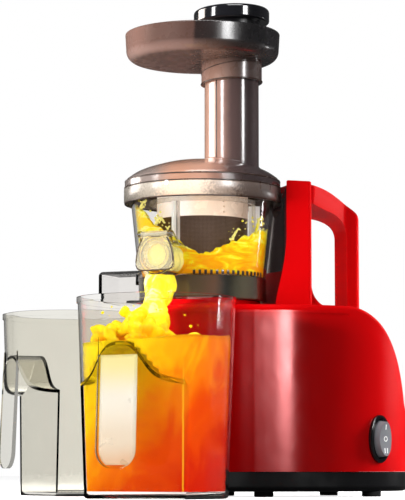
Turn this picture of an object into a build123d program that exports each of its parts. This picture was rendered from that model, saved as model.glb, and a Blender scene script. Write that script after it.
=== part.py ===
from build123d import *
import math
import os

os.makedirs("parts", exist_ok=True)

# Cold press juicer. Millimetres, +Z up. The origin is where the vertical drive axis of the juicing
# bowl meets the table. Front is -Y (pulp and juice leave there), the motor and the handle lie to +Y.

# ---------------------------------------------------------------- driving dimensions
BASE_Z0, BASE_Z1 = 4.5, 21.0   # base plate; the rubber feet fill the height below it
FRONT_R = 58.0            # plan radius of the drive base round the bowl axis
BODY_A, BODY_B, BODY_YC = 72.0, 118.0, 70.0   # rear half ellipse of the plan
SEAM_Z = 156.8            # parting line of the two red shells at the front
DECK_Z = 162.0
SEAT_Z = 166.0            # top of the bowl seat
WALL = 3.0

BOWL_Z0 = 166.4
BOWL_FLOOR = 187.0        # inside floor of the juicing bowl
BOWL_TOP = 266.0
BOWL_WALL = 2.5
RING_TOP = 186.0          # top of the dark ring round the bowl's foot

LID_Z0 = 261.5
LID_R = 67.5
TUBE_Y = 27.0             # feed tube axis
TUBE_A, TUBE_B = 31.0, 22.5
TUBE_TOP = 376.5
TRAY_Z = 377.0            # underside of the hopper tray
TRAY_TOP = 401.0
CAP_Z, TOP_Z = 412.0, 424.0

SPOUT_ANG = 44.0          # juice spout, degrees from -Y towards +X
SPOUT_Z = 200.6
SPOUT_R, SPOUT_BORE = 14.8, 12.4
SPOUT_END = 87.0
CHUTE_END = 92.0          # pulp chute, at 45 degrees from -Y towards -X

M1, M2 = 1.0, 1.5         # gear modules
Z_MOTOR, Z_INT_BIG, Z_INT_SMALL, Z_OUT = 14, 60, 14, 62
Z_AUGER, Z_IDLER, Z_RING = 30, 14, 58
INT_Y = M2 * (Z_INT_SMALL + Z_OUT) / 2             # 57
MOTOR_Y = INT_Y + M1 * (Z_MOTOR + Z_INT_BIG) / 2   # 94
IDLER_Y = M2 * (Z_AUGER + Z_IDLER) / 2             # 33

TOWER_HALF, TOWER_REAR, TOWER_TOP = 42.0, 86.0, 271.0
GRIP_FRONT, GRIP_REAR, GRIP_HALF = 130.0, 143.6, 13.5
SWITCH = (58.2, 140.0, 49.0)
SWITCH_ANG = 24.2

JUG_H = 160.0
JUG_BASE = (109.0, 111.0, 48.0)      # plan of the outside at the table: width, depth, corner radius
JUG_RIM = (121.5, 124.0, 55.0)       # and at the rim
JUG_RECESS = 34.0                    # from the jug's centre to the flat wall behind its tongue
JUICE_JUG = (115.6, -80.0)
JUICE_TONGUE = math.degrees(math.atan2(0.656, 0.755))   # from -Y towards +X
PULP_JUG = (-92.4, -87.4)
PULP_TONGUE = 4.0


def save(solid, name):
    solid.label = name
    export_step(solid, f"parts/{name}.step")


# ---------------------------------------------------------------- gear teeth
def _inv(a):
    return math.tan(a) - a


def _half(z, m, r, extra):
    pa = math.radians(20)
    rp = m * z / 2
    rb = rp * math.cos(pa)
    r = max(r, rb)
    return math.pi / (2 * z) + extra / (2 * rp) + _inv(pa) - _inv(math.acos(min(1.0, rb / r)))


def tooth_outline(z, m, r_in, r_out, extra, phase=0.0, n=4):
    """Closed outline of z involute teeth between r_in and r_out, a tooth centred on phase."""
    rb = m * z / 2 * math.cos(math.radians(20))
    lo = max(r_in, rb)
    radii = ([r_in] if r_in < lo - 0.02 else []) + [lo + (r_out - lo) * k / (n - 1) for k in range(n)]
    pts = []
    for t in range(z):
        c = phase + 2 * math.pi * t / z
        for r in radii:
            a = c - _half(z, m, r, extra)
            pts.append((r * math.cos(a), r * math.sin(a)))
        for r in reversed(radii):
            a = c + _half(z, m, r, extra)
            pts.append((r * math.cos(a), r * math.sin(a)))
    return pts


def spur(z, m, phase=0.0):
    rp = m * z / 2
    return tooth_outline(z, m, rp - 1.05 * m, rp + 0.8 * m, -0.12, phase)


def outline_face(pts):
    with BuildSketch(mode=Mode.PRIVATE) as sk:
        with BuildLine():
            Polyline(*pts, close=True)
        make_face()
    return sk.sketch_local


# ---------------------------------------------------------------- base outline and side profiles
def plan_face(off):
    """Egg-shaped plan of the drive base, drawn inward by off."""
    r, a, b = FRONT_R - off, BODY_A - off, BODY_B - off
    with BuildSketch(mode=Mode.PRIVATE) as sk:
        with BuildLine():
            ThreePointArc((-r, 0), (0, -r), (r, 0))
            Spline((r, 0), (a, BODY_YC), tangents=((0, 1), (0, 1)))
            EllipticalCenterArc((0, BODY_YC), a, b, start_angle=0, arc_size=180)
            Spline((-a, BODY_YC), (-r, 0), tangents=((0, -1), (0, -1)))
        make_face()
    return sk.sketch_local


SPINE = [(125, 159.0), (145, 147.5), (161, 127.0), (172, 101.0), (182, 66.0), (188.5, 28.0)]
SEAM = [(119, 147.5), (146, 126.5), (163, 104.0), (176, 78.0), (190, 40.0)]


def side_face(top_z, first, pts, low_z):
    """Side profile in (y, z): flat top that runs down the spine."""
    with BuildSketch(mode=Mode.PRIVATE) as sk:
        with BuildLine():
            Line((-90, low_z), (-90, top_z))
            Line((-90, top_z), (first, top_z))
            Spline((first, top_z), *pts, tangents=((1, 0), (0.12, -1)))
            Line(pts[-1], (pts[-1][0], low_z))
            Line((pts[-1][0], low_z), (-90, low_z))
        make_face()
    return sk.sketch_local


def shifted(pts, d):
    """The profile points moved inward by d, along each point's own normal."""
    out = []
    for i, p in enumerate(pts):
        a = pts[max(0, i - 1)]
        b = pts[min(len(pts) - 1, i + 1)]
        tx, ty = b[0] - a[0], b[1] - a[1]
        n = math.hypot(tx, ty)
        out.append((p[0] + d * ty / n, p[1] - d * tx / n))
    return out


with BuildPart() as below_seam:
    with BuildSketch(Plane.YZ):
        add(side_face(SEAM_Z, 92, SEAM, -10))
    extrude(amount=90, both=True)
with BuildPart() as below_seam_gap:
    with BuildSketch(Plane.YZ):
        add(side_face(SEAM_Z + 0.15, 92.1, shifted(SEAM, -0.15), -10))
    extrude(amount=90, both=True)

# cavity shared by the two red shells
with BuildPart() as base_cavity:
    with BuildSketch(Plane.XY.offset(10)):
        add(plan_face(WALL + 1.0))
    extrude(amount=150)
    with BuildSketch(Plane.YZ):
        add(side_face(DECK_Z - WALL, 110, shifted(SPINE, WALL + 0.5), 0))
    extrude(amount=90, both=True, mode=Mode.INTERSECT)

SW_N = (math.cos(math.radians(SWITCH_ANG)), math.sin(math.radians(SWITCH_ANG)), 0)
SW_T = (-SW_N[1], SW_N[0], 0)
SW_PLANE = Plane(origin=SWITCH, x_dir=SW_T, z_dir=SW_N)

GLAND_N = Vector(-0.738, 0.675, 0)
GLAND_PLANE = Plane(origin=(-40.3, 167.6, 34), x_dir=(0.675, 0.738, 0), z_dir=GLAND_N)

SCREW_SPOTS = [(0, -50.5), (64.3, 62), (-64.3, 62), (38.3, 160), (-38.3, 160)]

# ---------------------------------------------------------------- lower housing
with BuildPart() as lower_housing:
    with BuildSketch(Plane.XY.offset(BASE_Z1 + 0.2)):
        add(plan_face(0))
    extrude(amount=150)
    add(below_seam.part, mode=Mode.INTERSECT)
    # shadow groove under the lip
    with BuildSketch(Plane.XY.offset(152.6)):
        add(plan_face(-4))
        add(plan_face(1.2), mode=Mode.SUBTRACT)
    extrude(amount=2.0, mode=Mode.SUBTRACT)
    add(base_cavity.part, mode=Mode.SUBTRACT)
    # screw bosses
    with BuildSketch(Plane.XY.offset(BASE_Z1 + 0.2)):
        with Locations(*SCREW_SPOTS):
            Circle(4.6)
    extrude(amount=16)
    with BuildSketch(Plane.XY.offset(BASE_Z1)):
        with Locations(*SCREW_SPOTS):
            Circle(1.62)
    extrude(amount=12, mode=Mode.SUBTRACT)
    # switch pocket and opening, cord gland hole
    with BuildSketch(SW_PLANE.offset(-1.0)):
        Ellipse(13.2, 20.7)
    extrude(amount=6, mode=Mode.SUBTRACT)
    with BuildSketch(SW_PLANE.offset(-12)):
        Ellipse(10.6, 18.1)
    extrude(amount=14, mode=Mode.SUBTRACT)
    with BuildSketch(GLAND_PLANE.offset(-10)):
        Circle(6.3)
    extrude(amount=20, mode=Mode.SUBTRACT)
save(lower_housing.part, "lower_housing")

# ---------------------------------------------------------------- upper housing: deck, spine, tower, loop handle
with BuildPart() as tower_front_cut:
    with BuildSketch(Plane.XZ):
        with BuildLine():
            Polyline((0, 161.9), (66, 161.9), (67, 170))
            Spline((67, 170), (70.5, 188), (73.6, 208), (74.6, 225), tangents=((0.15, 1), (0, 1)))
            Polyline((74.6, 225), (74.6, 280), (0, 280), (0, 161.9))
        make_face()
    revolve(axis=Axis.Z)

with BuildPart() as tower:
    with BuildSketch(Plane.XY.offset(160)):
        with Locations((0, (TOWER_REAR + 34) / 2)):
            Rectangle(2 * TOWER_HALF, TOWER_REAR - 34)
    extrude(amount=TOWER_TOP - 160)
    fillet(tower.edges().filter_by(Axis.Z).sort_by(Axis.Y)[-2:], 4)
    add(tower_front_cut.part, mode=Mode.SUBTRACT)
    fillet(tower.faces().sort_by(Axis.Z)[-1].edges(), 1.6)
    # wedge foot that blends the tower into the deck at the back
    with BuildSketch(Plane.YZ):
        with BuildLine():
            Line((TOWER_REAR - 2, 160), (TOWER_REAR + 20, 160))
            Line((TOWER_REAR + 20, 160), (TOWER_REAR + 20, 162))
            Spline((TOWER_REAR + 20, 162), (TOWER_REAR + 5.5, 168), (TOWER_REAR, 184), tangents=((-1, 0.02), (0, 1)))
            Polyline((TOWER_REAR, 184), (TOWER_REAR - 2, 184), (TOWER_REAR - 2, 160))
        make_face()
    extrude(amount=TOWER_HALF - 4, both=True)

# loop handle: a crowned side view, narrowed in plan from the tower to the grip
with BuildPart() as handle:
    with BuildSketch(Plane.YZ):
        with BuildLine():
            Line((80, 247), (80, 268.6))
            Spline((80, 268.6), (104, 265.0), (122, 258.2), (GRIP_REAR - 6, 249.2), (GRIP_REAR, 236), tangents=((1, -0.08), (0, -1)))
            Polyline((GRIP_REAR, 236), (GRIP_REAR, 146), (GRIP_FRONT, 146), (GRIP_FRONT, 226))
            Spline((GRIP_FRONT, 226), (GRIP_FRONT - 3, 236.6), (GRIP_FRONT - 11, 243.2), (103, 247.6), (84, 252.5), tangents=((0, 1), (-1, 0.26)))
            Line((84, 252.5), (80, 247))
        make_face()
    extrude(amount=TOWER_HALF - 2, both=True)
    with BuildSketch(Plane.XY.offset(140)) as handle_plan:
        with BuildLine():
            Polyline((-39.4, 76), (-39.4, 87), (-GRIP_HALF - 0.4, GRIP_FRONT - 1), (-GRIP_HALF, GRIP_REAR), (GRIP_HALF, GRIP_REAR),
                     (GRIP_HALF + 0.4, GRIP_FRONT - 1), (39.4, 87), (39.4, 76), close=True)
        make_face()
        fillet(handle_plan.vertices().group_by(Axis.Y)[-1], 6.4)
        fillet([v for v in handle_plan.vertices() if abs(v.Y - GRIP_FRONT + 1) < 0.1], 14)
        fillet([v for v in handle_plan.vertices() if abs(v.Y - 87) < 0.1], 10)
    extrude(amount=140, mode=Mode.INTERSECT)

with BuildPart() as upper_housing:
    with BuildSketch(Plane.XY.offset(30)):
        add(plan_face(1.3))
    extrude(amount=160)
    with BuildSketch(Plane.YZ):
        add(side_face(DECK_Z, 108, SPINE, 0))
    extrude(amount=90, both=True, mode=Mode.INTERSECT)
    crown = [e for e in upper_housing.edges() if e.center().Z > 60 and e.bounding_box().size.Z < 130]
    fillet(crown, 3.6)
    add(below_seam_gap.part, mode=Mode.SUBTRACT)
    add(base_cavity.part, mode=Mode.SUBTRACT)
    # bowl seat
    with BuildSketch(Plane.XY.offset(DECK_Z - 2)):
        Circle(50)
    extrude(amount=SEAT_Z - DECK_Z + 2)
    add(tower.part)
    add(handle.part)
    # hole for the shaft seal and the drive shaft
    with BuildSketch(Plane.XY.offset(150)):
        Circle(14.0)
    extrude(amount=30, mode=Mode.SUBTRACT)
save(upper_housing.part, "upper_housing")
print("upper housing", len(upper_housing.part.solids()), upper_housing.part.volume)

# dark curved panel that lines the hollow of the tower behind the bowl
with BuildPart() as tower_front_panel:
    with BuildSketch(Plane.XZ):
        with BuildLine():
            Polyline((69.0, 172), (71.2, 172))
            Spline((71.2, 172), (74.0, 196), (74.4, 222), tangents=((0.12, 1), (0, 1)))
            Polyline((74.4, 222), (74.4, 264), (72.4, 264), (72.4, 222))
            Spline((72.4, 222), (71.9, 196), (69.0, 172), tangents=((0, -1), (-0.12, -1)))
        make_face()
    revolve(axis=Axis.Z)
    with BuildSketch(Plane.XY.offset(150)):
        with Locations((0, 100)):
            Rectangle(76, 100)
    extrude(amount=130, mode=Mode.INTERSECT)
    add(upper_housing.part, mode=Mode.SUBTRACT)
save(tower_front_panel.part, "tower_front_panel")

# ---------------------------------------------------------------- base plate, feet, screws, gland, switch
FOOT_SPOTS = [(47, 38), (-47, 38), (47, 137), (-47, 137)]
MOTOR_POSTS = [(38, MOTOR_Y + 28), (-38, MOTOR_Y + 28), (38, MOTOR_Y - 28), (-38, MOTOR_Y - 28)]
with BuildPart() as base_plate:
    with BuildSketch(Plane.XY.offset(BASE_Z0)):
        add(plan_face(0.4))
    extrude(amount=BASE_Z1 - BASE_Z0)
    fillet(base_plate.faces().sort_by(Axis.Z)[0].edges(), 4.5)
    with BuildSketch(Plane.XY.offset(BASE_Z0 + 3)):
        add(plan_face(3.6))
    extrude(amount=40, mode=Mode.SUBTRACT)
    # pads under the screw bosses, posts that carry the motor
    with BuildSketch(Plane.XY.offset(BASE_Z0 + 2)):
        with Locations(*SCREW_SPOTS):
            Circle(4.6)
    extrude(amount=BASE_Z1 - BASE_Z0 - 2)
    with BuildSketch(Plane.XY.offset(BASE_Z0 + 2)):
        with Locations(*MOTOR_POSTS):
            Circle(5.5)
    extrude(amount=26.0 - BASE_Z0 - 2)
    with BuildSketch(Plane.XY):
        with Locations(*SCREW_SPOTS):
            Circle(1.8)
    extrude(amount=40, mode=Mode.SUBTRACT)
    with BuildSketch(Plane.XY):
        with Locations(*SCREW_SPOTS):
            Circle(3.7)
    extrude(amount=BASE_Z0 + 3.2, mode=Mode.SUBTRACT)
    with BuildSketch(Plane.XY.offset(BASE_Z0 + 6)):
        with Locations(*MOTOR_POSTS):
            Circle(1.62)
    extrude(amount=30, mode=Mode.SUBTRACT)
    with BuildSketch(Plane.XY):
        with Locations(*FOOT_SPOTS):
            Circle(3.0)
    extrude(amount=20, mode=Mode.SUBTRACT)
    # air slots under the fan
    with BuildSketch(Plane.XY):
        with Locations((0, MOTOR_Y)):
            with PolarLocations(19, 12):
                SlotOverall(18, 3.2)
    extrude(amount=20, mode=Mode.SUBTRACT)
save(base_plate.part, "base_plate")

with BuildPart() as rubber_feet:
    with BuildSketch(Plane.XY):
        with Locations(*FOOT_SPOTS):
            Circle(8.2)
    extrude(amount=BASE_Z0)
    chamfer(rubber_feet.faces().group_by(Axis.Z)[0].edges(), 0.8)
    with BuildSketch(Plane.XY.offset(BASE_Z0 - 0.5)):
        with Locations(*FOOT_SPOTS):
            Circle(2.95)
    extrude(amount=4.5)
save(rubber_feet.part, "rubber_feet")


def screw_set(spots, z_head, head_r, head_h, shank_r, length, upward=True):
    """Pan head screws with a cross recess, one separate solid at each spot."""
    s = 1 if upward else -1
    with BuildPart(mode=Mode.PRIVATE) as screws:
        with BuildSketch(Plane.XY.offset(z_head)):
            with Locations(*spots):
                Circle(head_r)
        extrude(amount=s * head_h)
        with BuildSketch(Plane.XY.offset(z_head + s * head_h * 0.5)):
            with Locations(*spots):
                Circle(shank_r)
        extrude(amount=s * length)
        with BuildSketch(Plane.XY.offset(z_head)):
            with Locations(*spots):
                Rectangle(head_r * 1.2, 0.8)
                Rectangle(0.8, head_r * 1.2)
        extrude(amount=s * head_h * 0.55, mode=Mode.SUBTRACT)
    return screws.part


save(screw_set(SCREW_SPOTS, BASE_Z0 + 0.6, 3.3, 2.5, 1.55, 19), "base_screws")

with BuildPart() as cord_gland:
    with BuildSketch(GLAND_PLANE.offset(-7)):
        Circle(6.1)
    extrude(amount=8)
    with BuildSketch(GLAND_PLANE.offset(0.9)):
        Circle(9.0)
    extrude(amount=2.6)
    fillet(cord_gland.faces().filter_by(GeomType.PLANE).sort_by(Axis((0, 0, 0), tuple(GLAND_N)))[-1].edges(), 1.0)
    with BuildSketch(GLAND_PLANE.offset(3.0)):
        Circle(6.0)
    extrude(amount=6, taper=9)
    with BuildSketch(GLAND_PLANE.offset(-12)):
        Circle(3.4)
    extrude(amount=30, mode=Mode.SUBTRACT)
save(cord_gland.part, "cord_gland")

with BuildPart() as switch_bezel:
    with BuildSketch(SW_PLANE.offset(-0.9)):
        Ellipse(13.0, 20.5)
    extrude(amount=3.1)
    fillet(switch_bezel.faces().sort_by(Axis((0, 0, 0), SW_N))[-1].edges(), 1.2)
    with BuildSketch(SW_PLANE.offset(-9)):
        Ellipse(10.4, 17.9)
    extrude(amount=9)
    with BuildSketch(SW_PLANE.offset(-20)):
        Ellipse(9.3, 17.0)
    extrude(amount=40, mode=Mode.SUBTRACT)
save(switch_bezel.part, "switch_bezel")

with BuildPart() as switch_body:
    with BuildSketch(SW_PLANE.offset(-24)):
        RectangleRounded(15, 27, 2)
    extrude(amount=14.6)
    # two cheeks that carry the rocker's pivots
    with BuildSketch(SW_PLANE.offset(-9.6)):
        with Locations((-5.4, 0), (5.4, 0)):
            Rectangle(1.6, 5)
    extrude(amount=6.1)
    with BuildSketch(Plane(origin=Vector(*SWITCH) - 5.2 * Vector(*SW_N), x_dir=(0, 0, 1), z_dir=SW_T)):
        Circle(1.25)
    extrude(amount=7, both=True, mode=Mode.SUBTRACT)
    # terminals
    with BuildSketch(SW_PLANE.offset(-30)):
        with Locations((0, -9), (0, 0), (0, 9)):
            Rectangle(6.0, 0.8)
    extrude(amount=6.5)
save(switch_body.part, "switch_body")

with BuildPart() as switch_rocker:
    with BuildSketch(SW_PLANE.offset(-2.6)):
        Ellipse(8.7, 16.0)
    extrude(amount=11.2, taper=8)
    # hollow on the touch face: a wide shallow V
    with BuildSketch(Plane(origin=SWITCH, x_dir=(0, 0, 1), z_dir=SW_T)):
        with BuildLine():
            Line((-22, 12), (22, 12))
            Line((22, 12), (22, 9.4))
            ThreePointArc((22, 9.4), (0, 7.0), (-22, 9.4))
            Line((-22, 9.4), (-22, 12))
        make_face()
    extrude(amount=20, both=True, mode=Mode.SUBTRACT)
    # pivot web and pin
    with BuildSketch(SW_PLANE.offset(-7.2)):
        Rectangle(7.6, 4.6)
    extrude(amount=5)
    with BuildSketch(Plane(origin=Vector(*SWITCH) - 5.2 * Vector(*SW_N), x_dir=(0, 0, 1), z_dir=SW_T)):
        Circle(1.2)
    extrude(amount=6.0, both=True)
save(switch_rocker.part, "switch_rocker")

# ---------------------------------------------------------------- motor
MC = (0, MOTOR_Y)
with BuildPart() as motor_lower_bracket:
    with BuildSketch(Plane.XY.offset(26.2)):
        with Locations(MC):
            Circle(41)
        with Locations(*MOTOR_POSTS):
            Circle(6)
        with BuildLine():
            Polyline((44, MOTOR_Y + 31), (-32, MOTOR_Y - 33), (-44, MOTOR_Y - 23), (32, MOTOR_Y + 33), close=True)
        make_face()
        with BuildLine():
            Polyline((-44, MOTOR_Y + 23), (32, MOTOR_Y - 33), (44, MOTOR_Y - 23), (-32, MOTOR_Y + 33), close=True)
        make_face()
    extrude(amount=3.0)
    with BuildSketch(Plane.XY.offset(29.2)):
        with Locations(MC):
            Circle(41)
            Circle(38.2, mode=Mode.SUBTRACT)
    extrude(amount=17)
    with BuildSketch(Plane.XY.offset(26.2)):
        with Locations(MC):
            Circle(11)
    extrude(amount=9)
    with BuildSketch(Plane.XY.offset(20)):
        with Locations(MC):
            Circle(8.05)
    extrude(amount=20, mode=Mode.SUBTRACT)
    with BuildSketch(Plane.XY.offset(20)):
        with Locations(*MOTOR_POSTS):
            Circle(1.9)
        with Locations(MC):
            with PolarLocations(24, 6, start_angle=30):
                Circle(7)
    extrude(amount=12, mode=Mode.SUBTRACT)
save(motor_lower_bracket.part, "motor_lower_bracket")

with BuildPart() as motor_upper_bracket:
    with BuildSketch(Plane.XY.offset(106)):
        with Locations(MC):
            Circle(41)
    extrude(amount=3.0)
    with BuildSketch(Plane.XY.offset(90)):
        with Locations(MC):
            Circle(41)
            Circle(38.2, mode=Mode.SUBTRACT)
    extrude(amount=17)
    with BuildSketch(Plane.XY.offset(100)):
        with Locations(MC):
            Circle(11)
    extrude(amount=9)
    with BuildSketch(Plane.XY.offset(95)):
        with Locations(MC):
            Circle(8.05)
    extrude(amount=20, mode=Mode.SUBTRACT)
    with BuildSketch(Plane.XY.offset(102)):
        with Locations(MC):
            with PolarLocations(24, 6, start_angle=30):
                Circle(7)
    extrude(amount=12, mode=Mode.SUBTRACT)
save(motor_upper_bracket.part, "motor_upper_bracket")

with BuildPart() as stator_core:
    with BuildSketch(Plane.XY.offset(46.4)):
        with Locations(MC):
            Circle(41)
            Circle(24.6, mode=Mode.SUBTRACT)
            with PolarLocations(31, 12):
                SlotOverall(11, 5, mode=Mode.SUBTRACT)
    extrude(amount=43.4)
save(stator_core.part, "stator_core")

with BuildPart() as stator_windings:
    with BuildSketch(Plane.XY.offset(46.0)):
        with Locations(MC):
            with PolarLocations(31, 12):
                SlotOverall(10.4, 4.4)
    extrude(amount=44.2)
    for z in (37.0, 90.0):
        with BuildSketch(Plane.XY.offset(z)):
            with Locations(MC):
                Circle(37.2)
                Circle(25.6, mode=Mode.SUBTRACT)
        extrude(amount=9.2)
    rings = stator_windings.edges().filter_by(GeomType.CIRCLE).filter_by(lambda e: e.radius > 37 or 25 < e.radius < 26)
    fillet([e for e in rings if e.center().Z < 38 or e.center().Z > 98], 2.5)
save(stator_windings.part, "stator_windings")

with BuildPart() as motor_bearings:
    for z in (28.2, 101.0):
        with BuildSketch(Plane.XY.offset(z)):
            with Locations(MC):
                Circle(8.0)
                Circle(4.04, mode=Mode.SUBTRACT)
        extrude(amount=6)
save(motor_bearings.part, "motor_bearings")

with BuildPart() as motor_shaft:
    with BuildSketch(Plane.XY.offset(12.5)):
        with Locations(MC):
            Circle(4.0)
    extrude(amount=117)
    chamfer(motor_shaft.faces().sort_by(Axis.Z)[-1].edges(), 0.5)
save(motor_shaft.part, "motor_shaft")

with BuildPart() as rotor_core:
    with BuildSketch(Plane.XY.offset(46.4)):
        with Locations(MC):
            Circle(24.0)
            Circle(4.03, mode=Mode.SUBTRACT)
            with PolarLocations(21.4, 24):
                Circle(1.1, mode=Mode.SUBTRACT)
    extrude(amount=43.4)
save(rotor_core.part, "rotor_core")

with BuildPart() as cooling_fan:
    with BuildSketch(Plane.XY.offset(14.0)):
        with Locations(MC):
            Circle(8)
            Circle(4.03, mode=Mode.SUBTRACT)
    extrude(amount=9)
    with BuildSketch(Plane.XY.offset(22.0)):
        with Locations(MC):
            Circle(28)
            Circle(7, mode=Mode.SUBTRACT)
    extrude(amount=1.4)
    with BuildSketch(Plane.XY.offset(14.0)):
        with Locations(MC):
            with PolarLocations(17.5, 9):
                Rectangle(20.5, 1.4)
    extrude(amount=8.5)
save(cooling_fan.part, "cooling_fan")


def toothed(pts, centre, z, height, bore):
    """A spur gear: outline, thickness and round bore."""
    with BuildPart(mode=Mode.PRIVATE) as g:
        with BuildSketch(Plane.XY.offset(z)):
            with Locations(centre):
                add(outline_face(pts))
                Circle(bore, mode=Mode.SUBTRACT)
        extrude(amount=height)
    return g.part


UP, DOWN = math.pi / 2, -math.pi / 2
save(toothed(spur(Z_MOTOR, M1, DOWN + math.pi / Z_MOTOR), MC, 118.0, 9.0, 4.03), "motor_pinion")

# ---------------------------------------------------------------- gearbox
CASE_R1, CASE_R2 = 53.0, 27.0


def case_face(off):
    """Outline of the gearbox: two circles and their common tangents."""
    r1, r2 = CASE_R1 - off, CASE_R2 - off
    c = (r1 - r2) / MOTOR_Y
    s = math.sqrt(1 - c * c)
    with BuildSketch(mode=Mode.PRIVATE) as sk:
        Circle(r1)
        with Locations(MC):
            Circle(r2)
        with BuildLine():
            Polyline((r1 * s, r1 * c), (r2 * s, MOTOR_Y + r2 * c), (-r2 * s, MOTOR_Y + r2 * c), (-r1 * s, r1 * c), close=True)
        make_face()
    return sk.sketch_local


CASE_SCREWS = [(43.5, 44), (-43.5, 44), (22.3, 111.3), (-22.3, 111.3)]
with BuildPart() as gearbox_case:
    with BuildSketch(Plane.XY.offset(112.0)):
        add(case_face(0))
        with Locations(*CASE_SCREWS):
            Circle(4.4)
    extrude(amount=31.0)
    with BuildSketch(Plane.XY.offset(114.8)):
        add(case_face(2.6))
    extrude(amount=40, mode=Mode.SUBTRACT)
    with BuildSketch(Plane.XY.offset(110)):
        with Locations(MC):
            Circle(5.0)
        Circle(12.0)
        with Locations((0, INT_Y)):
            Circle(4.0)
    extrude(amount=10, mode=Mode.SUBTRACT)
    with BuildSketch(Plane.XY.offset(125)):
        with Locations(*CASE_SCREWS):
            Circle(1.62)
    extrude(amount=30, mode=Mode.SUBTRACT)
save(gearbox_case.part, "gearbox_case")

with BuildPart() as gearbox_cover:
    with BuildSketch(Plane.XY.offset(143.1)):
        add(case_face(0))
        with Locations(*CASE_SCREWS):
            Circle(4.4)
    extrude(amount=3.0)
    with BuildSketch(Plane.XY.offset(146.0)):
        Circle(16)
    extrude(amount=5)
    with BuildSketch(Plane.XY.offset(140)):
        Circle(12.0)
        with Locations((0, INT_Y)):
            Circle(4.0)
        with Locations(*CASE_SCREWS):
            Circle(1.9)
    extrude(amount=20, mode=Mode.SUBTRACT)
save(gearbox_cover.part, "gearbox_cover")

save(screw_set(CASE_SCREWS, 148.7, 3.3, 2.5, 1.55, 18, upward=False), "gearbox_screws")
save(screw_set(MOTOR_POSTS, 31.8, 3.3, 2.5, 1.55, 13, upward=False), "motor_screws")

with BuildPart() as output_bushes:
    for z, h in ((110.5, 6.0), (143.0, 8.0)):
        with BuildSketch(Plane.XY.offset(z)):
            Circle(11.98)
            Circle(8.05, mode=Mode.SUBTRACT)
        extrude(amount=h)
save(output_bushes.part, "output_bushes")

with BuildPart() as intermediate_shaft:
    with BuildSketch(Plane.XY.offset(112.2)):
        with Locations((0, INT_Y)):
            Circle(3.98)
    extrude(amount=33.5)
save(intermediate_shaft.part, "intermediate_shaft")

big_wheel = toothed(spur(Z_INT_BIG, M1, UP), (0, INT_Y), 118.5, 8.0, 4.03)
small_wheel = toothed(spur(Z_INT_SMALL, M2, DOWN + math.pi / Z_INT_SMALL), (0, INT_Y), 126.5, 14.0, 4.03)
with BuildPart() as intermediate_gear:
    add(big_wheel)
    add(small_wheel)
save(intermediate_gear.part, "intermediate_gear")

output_wheel = toothed(spur(Z_OUT, M2, UP), (0, 0), 129.0, 10.0, 8.02)
with BuildPart() as output_gear:
    add(output_wheel)
    with BuildSketch(Plane.XY.offset(128)):
        with PolarLocations(27, 6):
            Circle(8.5)
    extrude(amount=14, mode=Mode.SUBTRACT)
    with BuildSketch(Plane.XY.offset(127.0)):
        Circle(14)
        Circle(8.02, mode=Mode.SUBTRACT)
    extrude(amount=14.5)
save(output_gear.part, "output_gear")

HEX_TOP = 205.0
with BuildPart() as drive_shaft:
    with BuildSketch(Plane.XY.offset(109.0)):
        Circle(8.0)
    extrude(amount=58.5)
    with BuildSketch(Plane.XY.offset(167.5)):
        RegularPolygon(7.4, 6)
    extrude(amount=HEX_TOP - 167.5)
    chamfer(drive_shaft.faces().sort_by(Axis.Z)[-1].edges(), 0.8)
save(drive_shaft.part, "drive_shaft")

with BuildPart() as shaft_seal:
    with BuildSketch(Plane.XY.offset(159.4)):
        Circle(13.95)
        Circle(8.06, mode=Mode.SUBTRACT)
    extrude(amount=6.2)
save(shaft_seal.part, "shaft_seal")

with BuildPart() as run_capacitor:
    with BuildSketch(Plane.XY.offset(22)):
        with Locations((0, 32)):
            Circle(13)
    extrude(amount=52)
    fillet(run_capacitor.edges().filter_by(GeomType.CIRCLE), 1.5)
    with BuildSketch(Plane.XY.offset(73)):
        with Locations((-4, 32), (4, 32)):
            Rectangle(0.8, 5)
    extrude(amount=8)
save(run_capacitor.part, "run_capacitor")

with BuildPart() as capacitor_clamp:
    with BuildSketch(Plane.XY.offset(BASE_Z0 + 3.05)):
        with Locations((0, 32)):
            Circle(16)
    extrude(amount=28)
    with BuildSketch(Plane.XY.offset(21.9)):
        with Locations((0, 32)):
            Circle(13.1)
    extrude(amount=40, mode=Mode.SUBTRACT)
save(capacitor_clamp.part, "capacitor_clamp")

# ---------------------------------------------------------------- juicing bowl with spout and pulp chute
def heading(deg):
    """Unit vector in plan, deg from -Y towards +X, and the vector to its right seen from outside."""
    a = math.radians(deg)
    return (math.sin(a), -math.cos(a), 0), (math.cos(a), math.sin(a), 0)


S_DIR, S_T = heading(SPOUT_ANG)
Q_DIR, Q_T = heading(-45)
SPOUT = Plane(origin=(0, 0, SPOUT_Z), x_dir=S_T, z_dir=S_DIR)       # local x along the mouth, y up
CHUTE = Plane(origin=(0, 0, 0), x_dir=Q_T, z_dir=Q_DIR)             # local x across, y = height
SPOUT_SIDE = Plane(origin=(0, 0, SPOUT_Z), x_dir=S_DIR, z_dir=(-S_T[0], -S_T[1], 0))
HINGE_R, HINGE_V = 89.0, 16.8

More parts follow.
